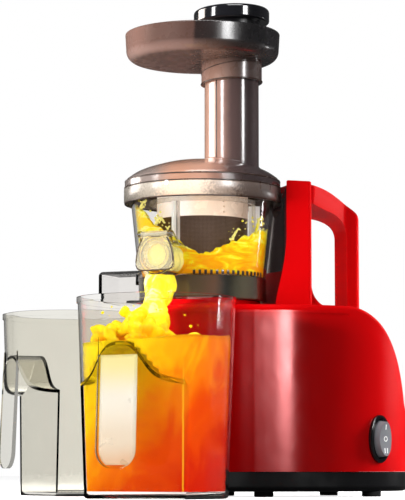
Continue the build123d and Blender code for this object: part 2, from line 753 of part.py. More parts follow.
with BuildPart() as juicing_bowl:
    with BuildSketch(Plane.XZ):
        with BuildLine():
            Polyline((0, 167), (52, 167), (52, 186.2), (55, 186.4), (62.5, 258), (65.3, 258.6), (65.3, 261),
                     (62.5, 261.2), (62.5, BOWL_TOP), (0, BOWL_TOP), close=True)
        make_face()
    revolve(axis=Axis.Z)
    with BuildSketch(SPOUT.offset(40)):
        Circle(SPOUT_R)
    extrude(amount=SPOUT_END - 40)
    with BuildSketch(SPOUT.offset(SPOUT_END - 2.6)):
        Circle(16.2)
    extrude(amount=2.6)
    with BuildSketch(CHUTE.offset(48)):
        with Locations((0, (166.9 + 195) / 2)):
            Rectangle(36, 195 - 166.9)
    extrude(amount=CHUTE_END - 48)
    fillet(juicing_bowl.edges().filter_by(lambda e: (e.center() - Vector(*Q_DIR) * CHUTE_END - Vector(0, 0, 195)).length < 30
                                          and e.center().Z > 194.5 and abs((e.center()).dot(Vector(*Q_DIR)) - CHUTE_END) < 0.5), 4)
    # inside of the bowl
    with BuildSketch(Plane.XZ):
        with BuildLine():
            Polyline((0, BOWL_FLOOR), (55 - BOWL_WALL, BOWL_FLOOR), (62.5 - BOWL_WALL, 258), (62.5 - BOWL_WALL, BOWL_TOP + 1),
                     (0, BOWL_TOP + 1), close=True)
        make_face()
    revolve(axis=Axis.Z, mode=Mode.SUBTRACT)
    # hollow underside
    with BuildSketch(Plane.XY.offset(160)):
        Circle(49.5)
    extrude(amount=24.5, mode=Mode.SUBTRACT)
    # centre tube, pulp duct under the floor, ring wall that carries the strainer
    with BuildSketch(Plane.XY.offset(167)):
        Circle(15.2)
    extrude(amount=18)
    with BuildSketch(CHUTE.offset(16)):
        with Locations((0, (167 + 185) / 2)):
            Rectangle(36, 18)
    extrude(amount=34)
    with BuildSketch(Plane.XY.offset(BOWL_FLOOR - 0.5)):
        Circle(39.4)
        Circle(37.2, mode=Mode.SUBTRACT)
        with BuildLine():
            Polyline((0, 0), (50 * math.sin(math.radians(24)), 50), (-50 * math.sin(math.radians(24)), 50), close=True)
        make_face(mode=Mode.SUBTRACT)
    extrude(amount=9.3)
    # passages
    with BuildSketch(SPOUT.offset(44)):
        Circle(SPOUT_BORE)
    extrude(amount=50, mode=Mode.SUBTRACT)
    with BuildSketch(CHUTE.offset(27)):
        with Locations((0, (169.2 + 182.6) / 2)):
            Rectangle(31.6, 182.6 - 169.2)
    extrude(amount=30, mode=Mode.SUBTRACT)
    with BuildSketch(CHUTE.offset(56.5)):
        with Locations((0, (169.2 + 192.7) / 2)):
            Rectangle(31.6, 192.7 - 169.2)
    extrude(amount=CHUTE_END - 2.3 - 56.5, mode=Mode.SUBTRACT)
    with BuildSketch(CHUTE.offset(66)):
        with Locations((0, 167)):
            Rectangle(31.6, 6)
    extrude(amount=CHUTE_END - 2.3 - 66, mode=Mode.SUBTRACT)
    with BuildSketch(CHUTE.offset(27.5)):
        with Locations((0, 186)):
            Rectangle(18, 10)
    extrude(amount=8.7, mode=Mode.SUBTRACT)
    with BuildSketch(Plane.XY.offset(160)):
        Circle(12.3)
        with Locations((0, IDLER_Y)):
            Circle(2.5)
    extrude(amount=30, mode=Mode.SUBTRACT)
    # hinge lugs of the juice cap
    for side in (1, -1):
        with BuildSketch(SPOUT_SIDE.offset(12.7 if side > 0 else -15.3)):
            with BuildLine():
                Polyline((72, 8), (86.0, 8), (86.9, 14), (91.4, 15), (91.4, 18.6), (89, 20.0), (85, 19.4), close=True)
            make_face()
        extrude(amount=2.6)
    with BuildSketch(SPOUT_SIDE):
        with Locations((HINGE_R, HINGE_V)):
            Circle(3.1)
    extrude(amount=12.55, both=True, mode=Mode.SUBTRACT)
    with BuildSketch(SPOUT_SIDE):
        with Locations((HINGE_R, HINGE_V)):
            Circle(1.25)
    extrude(amount=30, both=True, mode=Mode.SUBTRACT)
    with BuildSketch(SPOUT.offset(60)):
        Circle(SPOUT_BORE)
    extrude(amount=34, mode=Mode.SUBTRACT)
save(juicing_bowl.part, "juicing_bowl")
print("bowl solids", len(juicing_bowl.part.solids()))

with BuildPart() as bowl_base_ring:
    with BuildSketch(Plane.XY.offset(BOWL_Z0)):
        Circle(55.2)
        Circle(52.1, mode=Mode.SUBTRACT)
    extrude(amount=RING_TOP - BOWL_Z0)
    fillet(bowl_base_ring.faces().sort_by(Axis.Z)[0].edges().sort_by(SortBy.LENGTH)[-1], 1.4)
    with BuildSketch(CHUTE.offset(40)):
        with Locations((0, 180)):
            Rectangle(37, 60)
    extrude(amount=30, mode=Mode.SUBTRACT)
    with BuildSketch(SPOUT.offset(40)):
        Circle(15.2)
    extrude(amount=30, mode=Mode.SUBTRACT)
save(bowl_base_ring.part, "bowl_base_ring")

with BuildPart() as bowl_bottom_seal:
    with BuildSketch(Plane.XY.offset(168.5)):
        Circle(12.25)
        Circle(9.0, mode=Mode.SUBTRACT)
    extrude(amount=8.5)
save(bowl_bottom_seal.part, "bowl_bottom_seal")

with BuildPart() as idler_pin:
    with BuildSketch(Plane.XY.offset(184.6)):
        with Locations((0, IDLER_Y)):
            Circle(2.47)
    extrude(amount=10.6)
save(idler_pin.part, "idler_pin")

save(toothed(spur(Z_IDLER, M2, DOWN + math.pi / Z_IDLER), (0, IDLER_Y), 188.2, 5.8, 2.53), "brush_idler_gear")

# ---------------------------------------------------------------- juice cap
with BuildPart() as juice_cap:
    with BuildSketch(SPOUT.offset(SPOUT_END + 0.4)) as flap_outline:
        with BuildLine():
            Polyline((-11.4, 15.4), (-15.6, 6.0), (-17.7, -6.0), (-17.4, -13.2), (17.4, -13.2), (17.7, -6.0), (15.6, 6.0), (11.4, 15.4), close=True)
        make_face()
        fillet(flap_outline.vertices().sort_by(Axis.Y)[:2], 5.0)
        with BuildLine():
            Polyline((-11.5, -12.5), (-6.0, -12.5), (-7.4, -19.0), close=True)
        make_face()
    extrude(amount=2.2)
    with BuildSketch(SPOUT_SIDE):
        with Locations((HINGE_R, HINGE_V)):
            Circle(2.7)
        with BuildLine():
            Polyline((87.45, 12), (89.55, 12), (90.6, 17), (87.2, 16.5), close=True)
        make_face()
    extrude(amount=12.2, both=True)
    with BuildSketch(SPOUT_SIDE):
        with Locations((HINGE_R, HINGE_V)):
            Circle(1.28)
    extrude(amount=20, both=True, mode=Mode.SUBTRACT)
save(juice_cap.part, "juice_cap")

with BuildPart() as cap_hinge_pin:
    with BuildSketch(SPOUT_SIDE):
        with Locations((HINGE_R, HINGE_V)):
            Circle(1.22)
    extrude(amount=15.9, both=True)
save(cap_hinge_pin.part, "cap_hinge_pin")

with BuildPart() as cap_seal:
    with BuildSketch(SPOUT.offset(SPOUT_END - 2.4)):
        Circle(11.8)
        Circle(9.4, mode=Mode.SUBTRACT)
    extrude(amount=2.75)
save(cap_seal.part, "cap_seal")

# ---------------------------------------------------------------- strainer
with BuildPart() as strainer_frame:
    with BuildSketch(Plane.XY.offset(196.0)):
        Circle(39.4)
        Circle(25.6, mode=Mode.SUBTRACT)
    extrude(amount=5)
    with BuildSketch(Plane.XY.offset(238)):
        Circle(39.4)
        Circle(37.5, mode=Mode.SUBTRACT)
    extrude(amount=20)
    with BuildSketch(Plane.XY.offset(200.5)):
        with PolarLocations(37.95, 8, start_angle=15):
            Rectangle(0.9, 4)
    extrude(amount=38)
    with BuildSketch(CHUTE.offset(28)):
        with Locations((0, 199)):
            Rectangle(16, 12)
    extrude(amount=8, mode=Mode.SUBTRACT)
    # small vent holes in the top band
    for z in (241.5, 246, 250.5, 255):
        with BuildSketch(Plane(origin=(0, 0, z), x_dir=(-0.134, 0.991, 0), z_dir=(0.991, 0.134, 0)).offset(30)):
            Circle(0.9)
        extrude(amount=12, mode=Mode.SUBTRACT)
save(strainer_frame.part, "strainer_frame")

with BuildPart() as strainer_mesh:
    with BuildSketch(Plane.XY.offset(201.05)):
        Circle(39.1)
        Circle(38.5, mode=Mode.SUBTRACT)
    extrude(amount=36.9)
save(strainer_mesh.part, "strainer_mesh")

# ---------------------------------------------------------------- spinning brush
RING_RP = M2 * Z_RING / 2
BLADES = (70, 190, 310)
with BuildPart() as brush_frame:
    with BuildSketch(Plane.XY.offset(188.2)):
        Circle(47.0)
        add(outline_face(tooth_outline(Z_RING, M2, RING_RP - 0.8 * M2, RING_RP + 1.05 * M2, 0.12,
                                       UP + math.pi / Z_RING)), mode=Mode.SUBTRACT)
    extrude(amount=5.8)
    with BuildSketch(Plane.XY.offset(193.5)):
        Circle(47.0)
        Circle(45.3, mode=Mode.SUBTRACT)
    extrude(amount=3.0)
    with BuildSketch(Plane.XY.offset(194.6)):
        Circle(47.0)
        Circle(42.6, mode=Mode.SUBTRACT)
    extrude(amount=1.9)
    with BuildSketch(Plane.XY.offset(250.2)):
        Circle(46.0)
        Circle(42.6, mode=Mode.SUBTRACT)
    extrude(amount=3.6)
    for deg in BLADES:
        rad = math.radians(deg)
        with BuildSketch(Plane(origin=(0, 0, 195), x_dir=(math.cos(rad), math.sin(rad), 0), z_dir=(0, 0, 1))):
            with Locations((44.3, 2.1), (44.3, -2.1)):
                Rectangle(3.2, 2.0)
        extrude(amount=56)
save(brush_frame.part, "brush_frame")

with BuildPart() as wiper_blades:
    for deg in BLADES:
        rad = math.radians(deg)
        with BuildSketch(Plane(origin=(0, 0, 196.8), x_dir=(math.cos(rad), math.sin(rad), 0), z_dir=(0, 0, 1))):
            with Locations((44.8, 0)):
                Rectangle(9.8, 2.0)
        extrude(amount=53.2)
save(wiper_blades.part, "wiper_blades")

# ---------------------------------------------------------------- auger
with BuildPart() as flight:
    with BuildLine():
        Helix(pitch=23, height=40, radius=22, center=(0, 0, 204))
    with BuildSketch(Plane(origin=(22, 0, 204), x_dir=(1, 0, 0), z_dir=(0, 22 * 2 * math.pi, 23))):
        with Locations((1.5, 0)):
            Rectangle(29, 3.6)
    sweep(is_frenet=True)
    # the flight's outer edge is turned to a true cylinder, and its ends are cut level
    with BuildSketch(Plane.XY.offset(202.5)):
        Circle(37.1)
    extrude(amount=46, mode=Mode.INTERSECT)
print("flight", round(flight.part.volume), flight.part.is_valid)

auger_wheel = toothed(spur(Z_AUGER, M2, UP), (0, 0), 188.2, 5.8, 1.0)
with BuildPart() as auger:
    with BuildSketch(Plane.XZ):
        with BuildLine():
            Polyline((0, 178.4), (11.9, 178.4), (11.9, 188.2), (20.0, 188.2), (20.0, 194), (24.0, 194.2), (24.0, 201.4),
                     (31.5, 201.4), (31.5, 204))
            Spline((31.5, 204), (27.5, 216), (19.5, 236), (13.0, 251), tangents=((-0.2, 1), (-0.3, 1)))
            Polyline((13.0, 251), (10, 254), (7.5, 255.5), (0, 255.5), (0, 178.4))
        make_face()
    revolve(axis=Axis.Z)
    add(flight.part)
    add(auger_wheel)
    with BuildSketch(Plane.XY.offset(170)):
        RegularPolygon(7.66, 6)
    extrude(amount=36, mode=Mode.SUBTRACT)
    with BuildSketch(Plane.XY.offset(232)):
        Circle(4.0)
    extrude(amount=40, mode=Mode.SUBTRACT)
save(auger.part, "auger")
print("auger solids", len(auger.part.solids()), auger.part.is_valid)

with BuildPart() as auger_top_pin:
    with BuildSketch(Plane.XY.offset(232.3)):
        Circle(3.97)
    extrude(amount=40)
    chamfer(auger_top_pin.faces().sort_by(Axis.Z)[-1].edges(), 0.7)
save(auger_top_pin.part, "auger_top_pin")

# ---------------------------------------------------------------- lid with feed tube
TC = (0, TUBE_Y)
with BuildPart() as lid:
    with BuildSketch(Plane.XZ):
        with BuildLine():
            Polyline((0, 288.7), (23.5, 285.8))
            Spline((23.5, 285.8), (40.6, 281.7), (57.2, 275.2), tangents=((1, -0.14), (1, -0.58)))
            Polyline((57.2, 275.2), (60.3, 270.8), (64.6, 269.6), (64.6, LID_Z0), (LID_R, LID_Z0), (LID_R, 270.6), (66.2, 272.2), (65.2, 273.6))
            Spline((65.2, 273.6), (58.6, 278.1), (41.3, 284.7), (23.9, 288.7), tangents=((-1, 0.72), (-1, 0.14)))
            Polyline((23.9, 288.7), (0, 291.6), (0, 288.7))
        make_face()
    revolve(axis=Axis.Z)
    with BuildSketch(Plane.XY.offset(275)):
        with Locations(TC):
            Ellipse(TUBE_A, TUBE_B)
    extrude(amount=TUBE_TOP - 275)
    with BuildSketch(Plane.XY.offset(260)):
        with Locations(TC):
            Ellipse(TUBE_A - 2.5, TUBE_B - 2.5)
    extrude(amount=130, mode=Mode.SUBTRACT)
    with BuildSketch(Plane.XY.offset(258)):
        Circle(8.6)
    extrude(amount=31)
    with BuildSketch(Plane.XY.offset(255)):
        Circle(6.52)
    extrude(amount=16.1, mode=Mode.SUBTRACT)
    with BuildSketch(Plane.XY.offset(265)):
        Circle(4.6)
    extrude(amount=8.5, mode=Mode.SUBTRACT)
save(lid.part, "lid")
print("lid solids", len(lid.part.solids()), lid.part.is_valid)

with BuildPart() as lid_bush:
    with BuildSketch(Plane.XY.offset(258.6)):
        Circle(6.48)
        Circle(4.04, mode=Mode.SUBTRACT)
    extrude(amount=12.3)
save(lid_bush.part, "lid_bush")

with BuildPart() as lid_seal:
    with BuildSketch(Plane.XY.offset(266.4)):
        Circle(64.4)
        Circle(60.6, mode=Mode.SUBTRACT)
    extrude(amount=2.9)
save(lid_seal.part, "lid_seal")

# ---------------------------------------------------------------- hopper tray and tamper
with BuildPart() as tray_inside:
    with BuildSketch(Plane.XY.offset(TRAY_Z + 2.6)):
        Circle(63.6)
    extrude(amount=TRAY_TOP - TRAY_Z, taper=-3.5)
    fillet(tray_inside.faces().sort_by(Axis.Z)[0].edges(), 7)

with BuildPart() as hopper_tray:
    with BuildSketch(Plane.XY.offset(TRAY_Z)):
        Circle(66.0)
    extrude(amount=TRAY_TOP - TRAY_Z, taper=-3.5)
    fillet(hopper_tray.faces().sort_by(Axis.Z)[0].edges(), 9)
    add(tray_inside.part, mode=Mode.SUBTRACT)
    fillet(hopper_tray.faces().sort_by(Axis.Z)[-1].edges(), 1.0)
    with BuildSketch(Plane.XY.offset(359)):
        with Locations(TC):
            Ellipse(33.8, 25.3)
    extrude(amount=TRAY_Z - 359 + 1)
    with BuildSketch(Plane.XY.offset(350)):
        with Locations(TC):
            Ellipse(31.35, 22.85)
    extrude(amount=TRAY_Z - 350 - 0.2, mode=Mode.SUBTRACT)
    with BuildSketch(Plane.XY.offset(370)):
        with Locations(TC):
            Ellipse(TUBE_A - 2.5, TUBE_B - 2.5)
    extrude(amount=15, mode=Mode.SUBTRACT)
save(hopper_tray.part, "hopper_tray")

with BuildPart() as tamper_stem:
    with BuildSketch(Plane.XY.offset(303)):
        with Locations(TC):
            Ellipse(27.6, 19.1)
    extrude(amount=77.2)
    fillet(tamper_stem.faces().sort_by(Axis.Z)[0].edges(), 4)
    with BuildSketch(Plane.XY.offset(379.9)):
        with Locations(TC):
            Ellipse(31.6, 23.6)
    extrude(amount=CAP_Z - 0.05 - 379.9)
    with BuildSketch(Plane.XY.offset(306)):
        with Locations(TC):
            Ellipse(24.8, 16.3)
    extrude(amount=120, mode=Mode.SUBTRACT)
save(tamper_stem.part, "tamper_stem")

with BuildPart() as tamper_cap:
    with BuildSketch(Plane.XY.offset(CAP_Z)):
        with Locations(TC):
            Ellipse(38.0, 32.4)
    extrude(amount=TOP_Z - CAP_Z)
    fillet(tamper_cap.faces().sort_by(Axis.Z)[-1].edges(), 3.0)
    fillet(tamper_cap.faces().sort_by(Axis.Z)[0].edges(), 2.0)
    with BuildSketch(Plane.XY.offset(CAP_Z - 5)):
        with Locations(TC):
            Ellipse(24.7, 16.2)
            Ellipse(22.2, 13.7, mode=Mode.SUBTRACT)
    extrude(amount=5.5)
save(tamper_cap.part, "tamper_cap")


# ---------------------------------------------------------------- jugs
def make_jug(centre, deg):
    d, t = heading(deg)
    cx, cy = centre

    def level(z):
        return Plane(origin=(cx, cy, z), x_dir=t, z_dir=(0, 0, 1))

    def front(dist):
        return Plane(origin=(cx + dist * d[0], cy + dist * d[1], 0), x_dir=t, z_dir=d)

    side = Plane(origin=(cx, cy, 0), x_dir=d, z_dir=(-t[0], -t[1], 0))

    def under_arch(up):
        pts = [(75, 86), (48, 89), (30, 95), (19, 109), (9, 118.2), (0, 120), (-9, 118.2), (-19, 109), (-30, 95), (-48, 89), (-75, 86)]
        with BuildSketch(mode=Mode.PRIVATE) as sk:
            with BuildLine():
                Spline(*[(x, z + up) for x, z in pts])
                Polyline((-75, 86 + up), (-75, -5), (75, -5), (75, 86 + up))
            make_face()
        return sk.sketch_local

    with BuildPart(mode=Mode.PRIVATE) as inside:
        with BuildSketch(level(3.0)):
            RectangleRounded(JUG_BASE[0] - 4.6, JUG_BASE[1] - 4.6, JUG_BASE[2] - 2.4)
        with BuildSketch(level(JUG_H + 1)):
            RectangleRounded(JUG_RIM[0] - 4.7, JUG_RIM[1] - 4.7, JUG_RIM[2] - 2.4)
        loft()
        fillet(inside.faces().sort_by(Axis.Z)[0].edges(), 3.0)
        with BuildSketch(front(JUG_RECESS - 2.4)):
            add(under_arch(2.6))
        extrude(amount=60, mode=Mode.SUBTRACT)
    with BuildPart(mode=Mode.PRIVATE) as tongue:
        with BuildSketch(side):
            with BuildLine():
                Polyline((58.1, 118.4), (58.5, 126), (60.2, 126), (65.1, 22), (61.3, 22), (58.9, 90), close=True)
            make_face()
        extrude(amount=17.5, both=True)
        with BuildSketch(front(40)) as tongue_front:
            with Locations((0, 76)):
                Rectangle(35, 104)
            fillet(tongue_front.vertices().group_by(Axis.Y)[0], 15)
        extrude(amount=40, mode=Mode.INTERSECT)
    with BuildPart(mode=Mode.PRIVATE) as jug:
        with BuildSketch(level(0)):
            RectangleRounded(*JUG_BASE)
        with BuildSketch(level(JUG_H)):
            RectangleRounded(*JUG_RIM)
        loft()
        fillet(jug.faces().sort_by(Axis.Z)[0].edges(), 3.0)
        with BuildSketch(front(JUG_RECESS)):
            add(under_arch(0))
        extrude(amount=60, mode=Mode.SUBTRACT)
        add(inside.part, mode=Mode.SUBTRACT)
        with BuildSketch(level(JUG_H - 4.5)):
            RectangleRounded(JUG_RIM[0] + 1.6, JUG_RIM[1] + 1.6, JUG_RIM[2] + 0.8)
            RectangleRounded(JUG_RIM[0] - 3.2, JUG_RIM[1] - 3.2, JUG_RIM[2] - 1.6, mode=Mode.SUBTRACT)
        extrude(amount=4.5)
        add(tongue.part)
    return jug.part


for name, centre, deg in (("juice_jug", JUICE_JUG, JUICE_TONGUE), ("pulp_jug", PULP_JUG, PULP_TONGUE)):
    jug_part = make_jug(centre, deg)
    save(jug_part, name)
    print(name, len(jug_part.solids()), jug_part.is_valid, round(jug_part.volume))
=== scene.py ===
import bpy
import bmesh
import math
import random
from mathutils import Vector, Matrix, noise
from mathutils.bvhtree import BVHTree


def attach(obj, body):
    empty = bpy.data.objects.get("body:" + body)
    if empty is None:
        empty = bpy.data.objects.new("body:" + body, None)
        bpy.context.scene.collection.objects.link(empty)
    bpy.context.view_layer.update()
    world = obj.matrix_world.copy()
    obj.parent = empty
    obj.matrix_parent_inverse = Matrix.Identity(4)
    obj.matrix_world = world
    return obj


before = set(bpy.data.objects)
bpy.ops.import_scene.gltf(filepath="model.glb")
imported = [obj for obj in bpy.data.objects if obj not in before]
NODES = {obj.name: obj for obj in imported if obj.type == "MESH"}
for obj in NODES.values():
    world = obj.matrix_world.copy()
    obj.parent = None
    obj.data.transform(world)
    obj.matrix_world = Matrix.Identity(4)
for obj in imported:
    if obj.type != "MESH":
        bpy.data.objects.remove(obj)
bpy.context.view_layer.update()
MM = 0.001
random.seed(7)

# ------------------------------------------------------------------ directions shared with the CAD
VIEW = Vector((0.94, -0.342, 0.0)).normalized()     # towards the camera, in plan
RIGHT = Vector((0.342, 0.94, 0.0)).normalized()     # to the right in the picture


def heading(deg):
    a = math.radians(deg)
    return Vector((math.sin(a), -math.cos(a), 0)), Vector((math.cos(a), math.sin(a), 0))


S_DIR, S_T = heading(44.0)
JUICE_DEG = math.degrees(math.atan2(0.656, 0.755))
JUGS = {"juice_jug": (Vector((115.6, -80.0, 0)), JUICE_DEG), "pulp_jug": (Vector((-92.4, -87.4, 0)), 4.0)}
RECESS = 31.6                                       # the inner face of the flat wall behind a jug's tongue
UP = Vector((0, 0, 1))


# ------------------------------------------------------------------ node helpers
class Mat:
    """A material with one Principled shader, and small helpers for its patterns."""

    def __init__(self, name):
        self.mat = bpy.data.materials.new(name)
        self.mat.use_nodes = True
        self.nt = self.mat.node_tree
        self.nt.nodes.clear()
        self.out = self.nt.nodes.new("ShaderNodeOutputMaterial")
        self.p = self.nt.nodes.new("ShaderNodeBsdfPrincipled")
        self.nt.links.new(self.p.outputs[0], self.out.inputs["Surface"])
        self.co = self.nt.nodes.new("ShaderNodeTexCoord").outputs["Object"]

    def set(self, **kw):
        for k, v in kw.items():
            self.p.inputs[k.replace("_", " ")].default_value = v
        return self

    def link(self, a, b):
        self.nt.links.new(a, b)

    def scaled(self, s, co=None):
        m = self.nt.nodes.new("ShaderNodeMapping")
        m.inputs["Scale"].default_value = s if hasattr(s, "__len__") else (s, s, s)
        self.link(co or self.co, m.inputs["Vector"])
        return m.outputs[0]

    def noise(self, scale, detail=3.0, rough=0.5, stretch=None, distort=0.0, co=None):
        n = self.nt.nodes.new("ShaderNodeTexNoise")
        n.inputs["Scale"].default_value = scale
        n.inputs["Detail"].default_value = detail
        n.inputs["Roughness"].default_value = rough
        n.inputs["Distortion"].default_value = distort
        self.link(self.scaled(stretch, co) if stretch else (co or self.co), n.inputs["Vector"])
        return n.outputs["Fac"]

    def math(self, op, a, b=None):
        n = self.nt.nodes.new("ShaderNodeMath")
        n.operation = op
        for i, v in enumerate((a, b)):
            if v is None:
                continue
            if isinstance(v, (int, float)):
                n.inputs[i].default_value = v
            else:
                self.link(v, n.inputs[i])
        return n.outputs[0]

    def axis(self, which):
        s = self.nt.nodes.new("ShaderNodeSeparateXYZ")
        self.link(self.co, s.inputs[0])
        return s.outputs["XYZ".index(which)]

    def along(self, direction, origin=(0, 0, 0)):
        """Distance along a direction from an origin, in metres, in the object's own coordinates."""
        sub = self.nt.nodes.new("ShaderNodeVectorMath")
        sub.operation = "SUBTRACT"
        self.link(self.co, sub.inputs[0])
        sub.inputs[1].default_value = tuple(origin)
        d = self.nt.nodes.new("ShaderNodeVectorMath")
        d.operation = "DOT_PRODUCT"
        self.link(sub.outputs[0], d.inputs[0])
        d.inputs[1].default_value = tuple(direction)
        return d.outputs["Value"]

    def ramp(self, fac, stops, smooth=True):
        r = self.nt.nodes.new("ShaderNodeValToRGB")
        r.color_ramp.interpolation = "EASE" if smooth else "LINEAR"
        while len(r.color_ramp.elements) < len(stops):
            r.color_ramp.elements.new(0.5)
        for e, (pos, col) in zip(r.color_ramp.elements, stops):
            e.position = pos
            e.color = (*col, 1.0)
        self.link(fac, r.inputs[0])
        return r.outputs[0]

    def span(self, value, lo, hi, a=0.0, b=1.0):
        m = self.nt.nodes.new("ShaderNodeMapRange")
        m.inputs["From Min"].default_value, m.inputs["From Max"].default_value = lo, hi
        m.inputs["To Min"].default_value, m.inputs["To Max"].default_value = a, b
        self.link(value, m.inputs["Value"])
        return m.outputs["Result"]

    def mix(self, fac, a, b):
        n = self.nt.nodes.new("ShaderNodeMix")
        n.data_type = "RGBA"
        for sock, v in ((n.inputs[0], fac), (n.inputs[6], a), (n.inputs[7], b)):
            if isinstance(v, (int, float)):
                sock.default_value = v
            elif isinstance(v, tuple):
                sock.default_value = (*v, 1.0)
            else:
                self.link(v, sock)
        return n.outputs[2]

    def colour(self, socket):
        self.link(socket, self.p.inputs["Base Color"])
        return self

    def rough(self, lo, hi, fac):
        self.link(self.span(fac, 0.3, 0.7, lo, hi), self.p.inputs["Roughness"])
        return self

    def bump(self, height, strength, distance=0.0002):
        b = self.nt.nodes.new("ShaderNodeBump")
        b.inputs["Strength"].default_value = strength
        b.inputs["Distance"].default_value = distance
        self.link(height, b.inputs["Height"])
        self.link(b.outputs[0], self.p.inputs["Normal"])
        return self


def shade(c, k):
    return tuple(min(1.0, max(0.0, v * k)) for v in c)


def plastic(name, col, rough=0.3, spread=0.08, vary=0.12, grain=1800.0, depth=0.08, coat=0.0, coat_rough=0.05, **kw):
    """Moulded plastic: slow colour drift, patchy gloss and a fine moulded grain."""
    m = Mat(name)
    m.colour(m.mix(m.noise(22.0, 4.0), shade(col, 1 - vary), shade(col, 1 + vary)))
    m.rough(rough - spread / 2, rough + spread / 2, m.noise(60.0, 5.0))
    m.bump(m.noise(grain, 2.0), depth, 0.00006)
    m.set(Coat_Weight=coat, Coat_Roughness=coat_rough, **kw)
    return m


def clear(name, col, rough=0.03, ior=1.32, trans=1.0, vary=0.03, flow=0.10):
    """Clear moulded plastic, with faint flow ripples from the mould and light scuffing."""
    m = Mat(name)
    m.colour(m.mix(m.noise(30.0, 3.0), shade(col, 1 - vary), shade(col, 1 + vary)))
    m.rough(max(0.0, rough - 0.02), rough + 0.05, m.noise(140.0, 5.0))
    m.bump(m.noise(70.0, 2.0, stretch=(1, 1, 0.25)), flow, 0.0003)
    m.set(Transmission_Weight=trans, IOR=ior)
    return m


def metal(name, col, rough=0.3, stretch=(1, 1, 12), grain=500.0, depth=0.15):
    """Machined metal with fine tool marks."""
    m = Mat(name)
    n = m.noise(grain, 4.0, stretch=stretch)
    m.colour(m.mix(n, shade(col, 0.82), shade(col, 1.1)))
    m.rough(rough - 0.08, rough + 0.12, n)
    m.bump(n, depth, 0.00008)
    m.set(Metallic=1.0)
    return m


# ------------------------------------------------------------------ materials
M = {}
RED = (0.74, 0.0035, 0.006)
m = Mat("red_gloss")
drift = m.noise(9.0, 3.0)
m.colour(m.mix(drift, (0.60, 0.0010, 0.0022), (0.72, 0.0018, 0.0032)))
m.rough(0.17, 0.24, m.noise(45.0, 4.0))
m.bump(m.noise(700.0, 2.0), 0.05, 0.00008)
m.set(IOR=1.42, Specular_Tint=(1.0, 0.36, 0.36, 1.0))
m.link(m.span(m.along(RIGHT), 0.043, 0.054, 0.02, 0.5), m.p.inputs["Specular IOR Level"])
M["red_gloss"] = m.mat
M["black_plastic"] = plastic("black_plastic", (0.006, 0.006, 0.007), 0.36, 0.14, 0.25, 2600.0, 0.16, Specular_IOR_Level=0.22).mat
M["black_gloss"] = plastic("black_gloss", (0.008, 0.008, 0.010), 0.12, 0.05, 0.2, 900.0, 0.03, coat=0.6, coat_rough=0.04).mat
M["smoke_dark"] = plastic("smoke_dark", (0.045, 0.024, 0.026), 0.14, 0.06, 0.2, 900.0, 0.04, coat=0.7, coat_rough=0.05).mat
M["rubber_black"] = plastic("rubber_black", (0.016, 0.016, 0.017), 0.72, 0.12, 0.2, 1500.0, 0.3, Specular_IOR_Level=0.3).mat
# dark bowl-base ring with painted light: lighter and darker bands across the picture stand in for highlights and shade
m = plastic("dark_ring", (0.045, 0.046, 0.036), 0.16, 0.07, 0.2, 900.0, 0.04, coat=0.6, coat_rough=0.08)
m.colour(m.ramp(m.span(m.math("ADD", m.along(RIGHT), m.math("MULTIPLY", m.noise(120.0, 3.0), 0.004)), -0.056, 0.056),
                [(0.0, (0.05, 0.04, 0.03)), (0.34, (0.07, 0.045, 0.028)), (0.48, (0.13, 0.095, 0.06)), (0.60, (0.15, 0.085, 0.055)), (0.70, (0.03, 0.028, 0.02)), (0.84, (0.14, 0.13, 0.085)), (1.0, (0.02, 0.018, 0.014))]))
M["dark_ring"] = m.mat
M["grey_plastic"] = plastic("grey_plastic", (0.30, 0.31, 0.32), 0.45, 0.12, 0.08, 1600.0, 0.2).mat
M["grey_rocker"] = plastic("grey_rocker", (0.30, 0.31, 0.34), 0.34, 0.10, 0.15, 2000.0, 0.12).mat
M["white_nylon"] = plastic("white_nylon", (0.78, 0.77, 0.72), 0.42, 0.12, 0.05, 1400.0, 0.15, Subsurface_Weight=0.12).mat
# white silicone with a painted glow from emission
M["white_silicone"] = plastic("white_silicone", (0.95, 0.92, 0.86), 0.46, 0.12, 0.04, 1200.0, 0.12, Subsurface_Weight=0.2, Emission_Color=(1.0, 0.97, 0.92, 1.0), Emission_Strength=0.25).mat
M["steel"] = metal("steel", (0.58, 0.58, 0.60), 0.28).mat
M["bronze"] = metal("bronze", (0.55, 0.36, 0.16), 0.38, (1, 1, 1), 900.0, 0.3).mat
M["aluminium"] = metal("aluminium", (0.62, 0.63, 0.65), 0.42, (1, 1, 1), 420.0, 0.5).mat

m = Mat("lamination_steel")                      # stacked sheets
sheets = m.nt.nodes.new("ShaderNodeTexWave")
sheets.bands_direction = "Z"
sheets.inputs["Scale"].default_value = 320.0
m.link(m.co, sheets.inputs["Vector"])
m.colour(m.mix(sheets.outputs["Fac"], (0.16, 0.16, 0.17), (0.42, 0.42, 0.44)))
m.rough(0.35, 0.55, m.noise(200.0))
m.bump(sheets.outputs["Fac"], 0.4, 0.0002)
m.set(Metallic=0.9)
M["lamination_steel"] = m.mat

m = Mat("copper_winding")                        # varnished wire, side by side
wire = m.nt.nodes.new("ShaderNodeTexWave")
wire.inputs["Scale"].default_value = 260.0
wire.inputs["Distortion"].default_value = 1.5
m.link(m.co, wire.inputs["Vector"])
m.colour(m.mix(wire.outputs["Fac"], (0.22, 0.07, 0.02), (0.72, 0.28, 0.10)))
m.rough(0.22, 0.4, m.noise(150.0))
m.bump(wire.outputs["Fac"], 0.7, 0.0004)
m.set(Metallic=0.8, Coat_Weight=0.4)
M["copper_winding"] = m.mat

